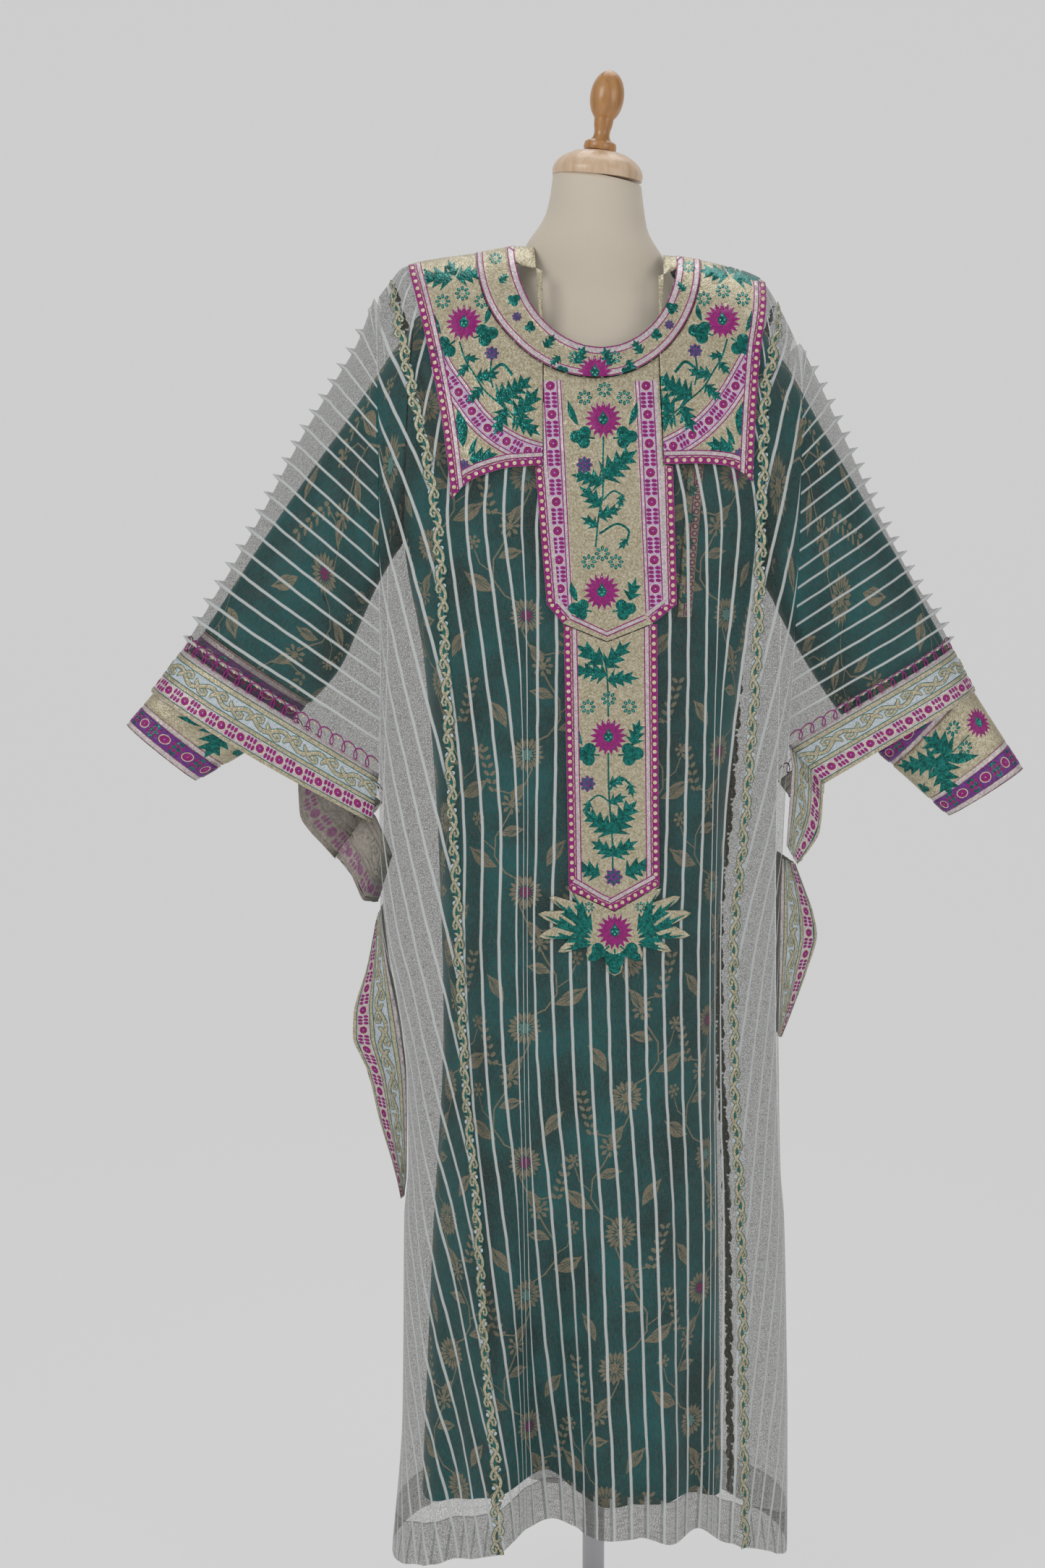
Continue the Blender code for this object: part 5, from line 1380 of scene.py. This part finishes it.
def loops(long):
    """Magenta loops of cord along a seam, each round a pale gold bead."""
    count = max(1, round(long / (15.5 * MM)))
    pitch = long / count
    turn = np.linspace(0.0, count, count * 14 + 1)
    x = pitch * turn - 5.5 * MM * np.sin(2 * math.pi * turn)
    y = 7.0 * MM - 7.5 * MM * np.cos(2 * math.pi * turn)
    keep = (x > 0) & (x < long)
    made = stroke(MAGENTA, TALL, np.stack([x, y], axis=1)[keep], 1.3 * MM)
    for k in range(count):
        made += set_down(oval(CREAM, MID, 1.5 * MM, 2.1 * MM, 6), pitch * (k + 0.5), 11.0 * MM)
    return made


def border_rows(side, facing, downs):
    """Inner and outer edges of a sleeve's border, from the fold over the arm to the body."""
    rim_x, rim_z = (curve(BORDER_OUTER[side, facing], i)(downs) for i in (1, 2))
    inner = web_point(side, facing, 1.0, downs)
    outer = np.stack([rim_x, inner[:, 1], rim_z + RAISE], axis=1)
    return np.hstack([inner + unit(outer - inner) * SEAM, outer])


def border_cloth(name, rows, facing, spacing=0.009):
    """A piece of border, worked on both faces, through rows of its edges, and its length."""
    place, long, flip = ribbon(rows, BORDER_WIDE, facing)
    return cloth_from(name, border_work(long), spacing, place, BOTH_FACES, 0.001, flip, False, REVERSE), long


for side, out in SIDES:
    for facing, where in WAYS:
        downs = web_downs(30)
        rows = border_rows(side, facing, downs)
        border, _ = border_cloth(f"sleeve_border_{where}_{side}_work", rows, facing, 0.011)
        seam = [web_point(side, facing, share, downs) for share in (1.0 - 0.02 / 0.47, 1.0)]
        place, long, flip = ribbon(np.hstack(seam), 0.02, facing, 0.0009)
        row = cloth_from(f"loops_{where}_{side}", loops(long), 0, place, NEEDLEWORK, 0.0007, flip, False)
        dress(row, "border_embroidery")
        web = f"overdress_sleeve_{where}_{side}_tulle"
        sewn_cloth(border, "border_embroidery", None)

    facing, where = (1, "back") if side == "left" else (-1, "front")
    first = border_rows(side, facing, np.array([1.0]))[0]
    first[[1, 4]] -= facing * 0.0015
    rows = np.vstack([first, np.add(CASCADES[side], (0, 0, RAISE, 0, 0, RAISE))])
    cascade, _ = border_cloth(f"sleeve_cascade_{side}_work", rows, -1)
    sewn_cloth(cascade, "border_embroidery")

    for facing, where in WAYS:
        rows = []
        for height, across, depth, low in SIDE_BORDERS[side]:
            inner_x = float(OVERDRESS[side](height)) + out * 0.0018
            inner_y = facing * max(float(OVERDRESS["edge"](height)), depth)
            rows.append((inner_x, inner_y, height + RAISE, across, facing * depth, low + RAISE))
        border, long = border_cloth(f"side_border_{where}_{side}_work", rows, facing)
        panel = f"overdress_side_{where}_{side}_tulle"
        sewn_cloth(border, "border_embroidery", (long, 0.034))


# Scroll trims
# A narrow gold scroll outlined in teal covers each of the four long seams, from shoulder to hem.
TRIM_WIDE, TRIM_PITCH = 0.015, 0.021
for side, line in TRIMS.items():
    for facing, where in WAYS:
        top = float(OVERDRESS["ridge"](on_ridge(line, OVERDRESS))) - 0.004
        foot = float(OVERDRESS["hem"][facing](line(FOLD_END)))
        heights = top + (foot - top) * np.linspace(0.0, 1.0, 160) ** 1.2
        x = line(heights)
        before, after = (depth_of(OVERDRESS, x + way, heights, facing) for way in (-0.004, 0.004))
        half = 0.5 * TRIM_WIDE / np.hypot(1.0, (after - before) / 0.008)
        rows = np.hstack([on_layer(OVERDRESS, x + way * half, heights, facing, 0.0016) for way in (1, -1)])
        place, long, flip = ribbon(rows, TRIM_WIDE, facing)
        work = [shape(CORD, 0.0, [flat_edge(long, 6.0 * MM, 9.0 * MM, 220)])]
        bead = oval(BLUE, 0.0, 3.6 * MM, 2.6 * MM, 8)
        for k in range(round(long / TRIM_PITCH)):
            work += set_down(bead, (k + 0.62) * TRIM_PITCH, (7.5 + 2.2 * (-1) ** k) * MM, 30)
        work += scroll(long, 0.0, TRIM_WIDE, TRIM_PITCH)
        wall = 0.0007 if facing > 0 else 0.0
        name = f"scroll_trim_{where}_{side}_work"
        trim = cloth_from(name, work, 0.008, place, BOTH_FACES, wall, flip, False, REVERSE)
        sewn_cloth(trim, "scroll_trim")


# Yoke and neck band
# Worked on stiff gold ground and sewn over the tulle: a band round the neck, and a yoke on each shoulder that ends
# in a beaded curve with a corner below it. Chains of rings run round the free edges.
BAND_MIDDLE, BAND_HALF_WIDTH, BAND_DROP = -0.010, 0.127, 0.152
CROWN = 0.0035
ring = dot(MAGENTA, MID, 3.9 * MM, 10) + dot(CREAM, TALL, 2.3 * MM, 8)


def below_ridge(across, drop):
    """Heights on the overdress a drop below its shoulder ridge."""
    return OVERDRESS["ridge"](across) - np.maximum(drop, CROWN)


def neck_line(half_width, middle, drop, grow=0.0, count=121):
    """A line round the neck, from its left shoulder down the front to its right one."""
    turn = np.linspace(0.0, math.pi, count)
    x = middle - (half_width + grow) * np.cos(turn)
    return np.stack([x, below_ridge(x, (drop + grow) * np.sin(turn))], axis=1)


def edging(line, inward, plain):
    """A pale strip, plain millimetres wide, between two magenta cords along an edge.

    inward is 1 where the work is to the line's left, and -1 where it is to its right.
    """
    made = stroke(MAGENTA, MID, beside(line, inward * 0.7 * MM), 1.3 * MM)
    made += stroke(SILVER, LOW, beside(line, inward * (1.4 + plain / 2) * MM), plain * MM)
    return made + stroke(MAGENTA, MID, beside(line, inward * (2.0 + plain) * MM), 1.2 * MM)


def chain(line, inward):
    """Rings in a row along an edge on a magenta ground, each round a pale gold bead, with an edging inside."""
    made = stroke(MAGENTA, LOW, beside(line, inward * 3.6 * MM), 7.0 * MM)
    made += repeated(ring, beside(line, inward * 4.0 * MM), 8.6 * MM)
    return made + edging(beside(line, inward * 8.2 * MM), inward, 4.0)


def smooth(points, count=60):
    """A smooth line through places."""
    k = np.linspace(0, len(points) - 1, count)
    return np.stack([curve(numbered(points), column)(k) for column in (1, 2)], axis=1)


def front_work(name, shapes, off, flat=None):
    """Needlework sewn to the front of the overdress, a little off it."""
    made = cloth_from(name + "_work", shapes, 0.006, laid_on(OVERDRESS, off), NEEDLEWORK, 0.0008)
    sewn_cloth(made, "gold_embroidery", flat)


inner = neck_line(0.0925, -0.002, 0.118)
outer = neck_line(BAND_HALF_WIDTH, BAND_MIDDLE, BAND_DROP)
middle_line = (inner + outer) / 2
shapes = [shape(GOLD, 0.0, [np.vstack([outer, inner[::-1]])])] + edging(outer, 1, 5.0) + edging(inner, -1, 5.5)
# Sprigs down both sides of the band: the point of its middle line, the turn there, the drop, and the motif
for step, turn, drop, motif in (
    (4, 0, 1.6, eight_petals(8)),
    (12, 30, 3.6, toothed_leaf(10.44, 6.84, 3, 18)),
    (20, 10, 3.2, lobed_leaf(13.12)),
    (26, 0, 1.2, button_flower(6)),
    (33, 40, 2.8, lobed_leaf(11.48)),
    (40, -10, 4.8, toothed_leaf(13.92, 9.12, 3, 18)),
    (47, 150, 4.0, toothed_leaf(11.6, 7.6, 3, 18)),
    (53, -20, 6.0, toothed_leaf(17.4, 11.4, 3, 18)),
):
    for mirror in (False, True):
        k = len(middle_line) - 1 - step if mirror else step
        x, y = middle_line[k]
        ahead = middle_line[k + 1] - middle_line[k - 1]
        bearing = math.degrees(math.atan2(ahead[1], ahead[0]))
        shapes += set_down(motif, x, y - drop * MM, bearing - turn if mirror else bearing + turn, 1.0, mirror)
shapes += placed(
    (eight_petals(8), -27, 1437.5),
    (eight_petals(8), 18, 1437.5),
    (lobed_leaf(12), -36, 1416.5, 40),
    (lobed_leaf(12), 27, 1416.5, -40),
    (lotus(40), -4.5, 1420.5),
)
front_work("neck_band_front", shapes, 0.0034, (0.36, 0.036))

inner = neck_line(0.0925, -0.002, 0.032)
outer = neck_line(0.108, -0.002, 0.052)
shapes = [shape(GOLD, 0.0, [np.vstack([outer, inner[::-1]])])] + edging(outer, 1, 3.0) + edging(inner, -1, 3.0)
shapes += repeated(set_down(toothed_leaf(10, 7, 2), 0, 0, -90), (inner + outer) / 2, 0.016)
place = laid_on(OVERDRESS, 0.0022, 1)
band = cloth_from("neck_band_back_work", shapes, 0.006, place, BOTH_FACES, 0.0008, True, True, REVERSE)
sewn_cloth(band, "gold_embroidery", (0.28, 0.027), 0.0068)


def branch(line, leaves=(), width=2.0):
    """A stem through places in millimetres, with leaves on its sides.

    Each leaf has its share along the stem, its turn from it, its length, and its teeth, or none for a blade.
    """
    line = smooth(metres(*line), 24)
    made = stroke(SEQUINS, LOW, line, width * MM)
    for share, turn, length, teeth in leaves:
        k = min(int(share * 23), 22)
        ahead = line[k + 1] - line[k]
        bearing = math.degrees(math.atan2(ahead[1], ahead[0])) - 90 + turn
        if teeth:
            work = toothed_leaf(length, 0.58 * length, teeth, 0.4 * turn)
        else:
            work = blade(length, 0.2 * length, 0.6 * turn)
        made += set_down(work, *line[k], bearing)
    return made


def fan(wide, *leaves):
    """Jagged leaves, wide times as wide as long: the place, turn, length and teeth of each."""
    made = []
    for x, y, turn, long, teeth in leaves:
        made += placed((toothed_leaf(long, wide * long, teeth, 0.3 * turn), x, y, turn))
    return made


def beaded_band(line, wide, ground, cords, beads, way=1):
    """A beaded band along a line: its width, that of its ground, its cords' places, and its repeat."""
    made = stroke(SILVER, LOW, line, wide * MM) + stroke(LAVENDER, 0.0, line, ground * MM)
    for away in cords:
        made += stroke(MAGENTA, MID, beside(line, away * MM), 1.2 * MM)
    return made + repeated(bead_repeat(*beads), line[::way], beads[0] * MM)


spray = branch(
    [(-155.5, 1456), (-149, 1436), (-138.5, 1418.7), (-128.1, 1401.9), (-110, 1385.9), (-95.9, 1373.9)],
    [
        *((0.20, 50, 13, 2), (0.30, -60, 14, 2), (0.46, 62, 20, 3)),
        *((0.60, -70, 18, 3), (0.74, 60, 34, 5), (0.90, -60, 24, 3)),
    ],
)
spray += branch([(-119.2, 1438), (-121, 1420), (-118, 1404)], [(0.5, -60, 10, 2)])
spray += branch([(-119, 1423), (-108, 1430), (-96, 1418)], [], 3.4)
spray += branch([(-95.9, 1373.9), (-88, 1366)], [(0.1, 78, 30, 3), (0.4, 8, 25, 3), (0.2, -50, 14, 0)])
spray += placed(
    (lotus(42), -150.5, 1477.2),
    (lobed_leaf(24), -160, 1457, 125),
    (lobed_leaf(24), -140, 1460, -75),
    (button_flower(8.5), -119.2, 1442.6),
    (trio(), -152.5, 1511),
    (blade(22, 5, -30), -176, 1464, 20),
    (blade(18, 5, 30), -127.5, 1476, -15),
)
spray += fan(0.6, (-164, 1527, 75, 30, 3), (-160, 1529, -70, 26, 3), (-161, 1531, 20, 17, 2))
corner = placed(
    (blade(36, 11, 10), -150.5, 1338, 8),
    (button_flower(7), -150, 1318.5),
    (toothed_leaf(24, 16, 3), -144, 1324, -78),
    (blade(20, 4), -145, 1328, -25),
)
# Lines of the yokes: their outer edges and inner seams as heights and places across, and their beaded curves
# and lower edges through places
YOKE_OUTER = {
    "left": metres((1281, -163), (1360, -173), (1424, -185), (1493, -201), (1545, -215)),
    "right": metres((1303, 170), (1360, 173), (1440, 180), (1505, 190), (1545, 192)),
}
YOKE_SEAM = {
    "left": curve(metres((1300, -62.5), (1430, -62.5))),
    "right": curve(metres((1300, 72.2), (1430, 68))),
}
BAND_CURVES = {
    "left": metres(
        (-185, 1448), (-175.6, 1427), (-154.7, 1397.4), (-133, 1368.3), (-108.8, 1348.3), (-82.2, 1335.1),
        (-60, 1329),
    ),
    "right": metres(
        (179, 1453), (162.6, 1424.2), (146.6, 1397.9), (126.6, 1372.3), (102.6, 1351.5), (78.4, 1337.9),
        (64, 1332),
    ),
}
YOKE_FOOT = {
    "left": metres((-163, 1281), (-150, 1296), (-136.5, 1304.8), (-96.5, 1316.5), (-62.5, 1318.5)),
    "right": metres((170, 1300), (158, 1311), (142, 1318), (108, 1320.5), (71.8, 1319.5)),
}
for side, out in SIDES:
    edge_line = neck_line(BAND_HALF_WIDTH, BAND_MIDDLE, BAND_DROP, 0.0011, 241)
    neck_part = edge_line[(edge_line[:, 0] - YOKE_SEAM[side](edge_line[:, 1])) * out > 0][::-out]
    seam_part = upright(YOKE_SEAM[side], YOKE_FOOT[side][-1][1], neck_part[0, 1], 12)
    outer_part = upright(curve(YOKE_OUTER[side]), YOKE_OUTER[side][0][0], 1.56, 40)
    outer_part = outer_part[outer_part[:, 1] < OVERDRESS["ridge"](outer_part[:, 0]) - CROWN]
    crown_x = np.linspace(neck_part[-1, 0], outer_part[-1, 0], 20)[1:]
    crown_part = np.stack([crown_x, below_ridge(crown_x, 0.0)], axis=1)
    foot_part = smooth(YOKE_FOOT[side], 40)
    outline = np.vstack([foot_part, seam_part[1:-1], neck_part, crown_part, outer_part[-2:0:-1]])
    shapes = [shape(GOLD, 0.0, [outline])]
    shapes += beaded_band(smooth(BAND_CURVES[side]), 25, 16, (-12.5, -8.2, 8.2, 12.5), (24, 10, 3, 6.8))
    mirror = side == "right"
    for motif, x, y in ((spray, -11.5, 3), (corner, 5.5, 12)):
        shapes += set_down(motif, mirror * x * MM, mirror * y * MM, 0, 1.0, mirror)
    shapes += chain(foot_part, -out) + chain(outer_part, out)
    front_work(f"yoke_{side}", shapes, 0.0026)


# Plastron and palmette
# The panel down the front, in two parts with pointed ends, and the cut-out palmette below it. Each has a flower
# stem on gold ground; beaded bands flank the upper part, and chains of rings run round both.
def slanted(high, low):
    """A line down the plastron, from its places across at 1.32 and 1.165 m."""
    return lambda height: low + (high - low) * (np.asarray(height, float) - 1.165) / 0.155


top_x = np.linspace(float(YOKE_SEAM["left"](1.42)) + 0.001, float(YOKE_SEAM["right"](1.42)) - 0.001, 40)
share = np.sqrt(1 - ((top_x - BAND_MIDDLE) / BAND_HALF_WIDTH) ** 2)
top_part = np.stack([top_x, OVERDRESS["ridge"](top_x) - BAND_DROP * share - 0.0012], axis=1)
POINT = np.array(metres((-58, 1165), (-40, 1144), (9, 1124), (60, 1144), (86.5, 1165)))
STEP_LEFT, STEP_RIGHT = 1.3165, 1.3175
left_part = upright(slanted(-0.0712, -0.0580), 1.165, STEP_LEFT, 30)
right_part = upright(slanted(0.0815, 0.0865), 1.165, STEP_RIGHT, 30)
seam_left = upright(shifted(YOKE_SEAM["left"], 0.001), STEP_LEFT + 0.001, top_part[0, 1], 12)
seam_right = upright(shifted(YOKE_SEAM["right"], -0.001), STEP_RIGHT + 0.001, top_part[-1, 1], 12)
outline = np.vstack([POINT[:-1], right_part, seam_right[:-1], top_part[::-1], seam_left[-2::-1], left_part[:0:-1]])
shapes = [shape(GOLD, 0.0, [outline])]
for line, out in ((slanted(-0.0498, -0.0420), -1), (slanted(0.0562, 0.0632), 1)):
    cords = [-out * away for away in (-11.6, -7.6, 7.6)]
    shapes += beaded_band(upright(line, 1.156, 1.412, 30), 25.5, 14.5, cords, (31, 10.5, 4, 6.6), -1)
shapes += branch(
    [(-4, 1228), (-1, 1260), (4, 1290), (4, 1320), (4.6, 1350)],
    [(0.30, -50, 20, 3), (0.36, 48, 24, 3), (0.62, -42, 36, 4), (0.58, 62, 26, 4), (0.18, 55, 16, 2)],
)
shapes += branch([(4, 1280), (16, 1290), (28, 1284)], [(0.9, -60, 12, 2)])
shapes += branch([(4, 1295), (7, 1313), (19, 1325)], [(0.8, -30, 14, 2)])
shapes += branch([(0, 1243), (20, 1254), (33, 1245), (30, 1233)], [(0.9, -20, 12, 2)], 2.6)
shapes += placed(
    (lotus(42), 4.6, 1368.5),
    (trio(), 6, 1402),
    (lobed_leaf(23), -5, 1348, 85),
    (lobed_leaf(23), 15, 1348, -85),
    (blade(26, 6, -24), -23, 1362, 24),
    (blade(24, 6, 24), 33, 1362, -20),
    (button_flower(9.5), -16.5, 1319),
    (lotus(42), 3, 1179),
    (trio(15), 3.5, 1221),
    (lobed_leaf(22), -8, 1157, 80),
    (lobed_leaf(22), 15, 1157, -80),
    (blade(20, 6, -20), -24, 1168, 20),
    (toothed_leaf(20, 12, 2), 34, 1169, -15),
)
# The last cord of each chain is left out, so that the beaded bands stay whole
for line, inward in ((POINT[1::-1], -1), (POINT[-2:], 1), (left_part, -1), (right_part, 1)):
    shapes += chain(line, inward)[:-1]
shapes += edging(metres((-33, 1148), (9, 1129), (53, 1148)), 1, 3.6)
front_work("plastron_upper", shapes, 0.0020)

TIP = np.array(metres((-33, 846), (18, 822), (68.4, 850)))
top_x = np.linspace(-0.0385, 0.0600, 20)
top_part = np.stack([top_x, np.interp(top_x, *POINT.T) - 0.0012], axis=1)
left_part = upright(curve(metres((846, -33), (1145, -39.2))), 0.846, top_part[0, 1], 40)
right_part = upright(curve(metres((850, 68.4), (1145, 64.5))), 0.850, top_part[-1, 1], 40)
shapes = [shape(GOLD, 0.0, [np.vstack([TIP[:-1], right_part, top_part[::-1], left_part[-2:0:-1]])])]
shapes += branch(
    [(16, 866), (15.5, 900), (12.5, 940), (11, 970), (10.7, 1000)],
    [
        *((0.16, 45, 22, 3), (0.16, -50, 24, 3), (0.34, 40, 30, 4)),
        *((0.34, -34, 34, 4), (0.55, -60, 16, 2), (0.70, -62, 16, 2)),
    ],
)
shapes += branch([(12, 945), (0, 952), (-12, 944)], [(0.95, 30, 13, 2)])
shapes += branch([(12, 958), (24, 972), (36, 964)], [(0.95, -30, 13, 2)], 2.6)
shapes += branch([(10.7, 1040), (10, 1070), (8, 1095), (2, 1112)])
shapes += fan(0.5, (9, 1080, -75, 26, 3), (9, 1086, 72, 30, 4), (7, 1094, -38, 30, 3), (5, 1098, 48, 30, 2))
shapes += placed(
    (trio(23), 11, 1060),
    (lotus(42), 10.7, 1017.5),
    (lobed_leaf(24), 1, 997, 85),
    (lobed_leaf(24), 21.5, 997, -85),
    (blade(26, 6, -30), -18, 1008, 20),
    (toothed_leaf(22, 13, 3), 38, 1008, -15),
    (button_flower(9.5), -12.5, 965),
    (button_flower(10.5), 17, 860),
    (toothed_leaf(24, 14, 3, 20), 2, 862, 60),
    (toothed_leaf(26, 16, 3, -40), 30, 862, -50),
)
shapes += chain(left_part, -1) + chain(right_part, 1)
shapes += chain(smooth(TIP, 21)[:11], 1) + chain(np.linspace(TIP[1], TIP[2], 12), 1)
front_work("plastron_lower", shapes, 0.0020)

HEART_X, HEART_Z = 0.0185, 0.8060
# Its leaves: the turn of each from straight down in degrees, and how far out its tip stands in millimetres
SPREAD = ((0, 58), (36, 50), (64, 71), (81, 86), (98, 87), (113, 80), (128, 66))
rim = []
for k, (turn, reach) in enumerate(SPREAD):
    round_tip = 8 if k < 2 else 3
    if k:
        before = SPREAD[k - 1]
        rim.append(((turn + before[0]) / 2, 0.74 * min(reach, before[1])))
    rim += [(turn + d, reach * s) for d, s in ((-round_tip, 0.92), (0, 1.0), (round_tip, 0.92)) if turn + d >= 0]
rim.append((139, 46))
angle, reach = np.radians([a for a, _ in rim]), np.array([r for _, r in rim]) * MM
half = np.stack([np.sin(angle) * reach, -np.cos(angle) * reach], axis=1)
edge = np.vstack([half[:0:-1] * (-1, 1), half]) + (HEART_X, HEART_Z)
notch = TIP[::-1] - (0.0, 0.0012)
outline = np.vstack([edge, (edge[-1, 0] - 0.001, 0.8505), notch, (edge[0, 0] + 0.001, 0.8475)])
shapes = [shape(GOLD, 0.0, [outline])] + set_down(lobed_leaf(24), HEART_X, 0.7790, 180)
side_work = placed((lobed_leaf(24), -6, -24, 130))
for turn, reach in SPREAD[2:]:
    bearing = math.radians(turn)
    root = np.array([-20 - 6 * math.sin(bearing), -22 + 16 * max(0.0, -math.cos(bearing) + 0.3)])
    x, y = np.array([-math.sin(bearing), -math.cos(bearing)]) * (reach - 5) - root
    long = math.hypot(x, y)
    way = math.degrees(math.atan2(y, x)) - 90
    side_work += placed((toothed_leaf(long / 1.38, 0.17 * long, 2), *root, way))
side_work += placed((toothed_leaf(22, 12, 3), -33, -10, 18), (eight_petals(6.5), -29, 20))
for mirror in (False, True):
    shapes += set_down(side_work, HEART_X, HEART_Z, 0, 1.0, mirror)
shapes += set_down(lotus(42), HEART_X, 0.7985)
front_work("palmette", shapes, 0.0020)


size = {"cad": [list(map(float, corner)) for corner in solid_box]}
size["model"] = [list(map(float, corner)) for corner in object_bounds()]
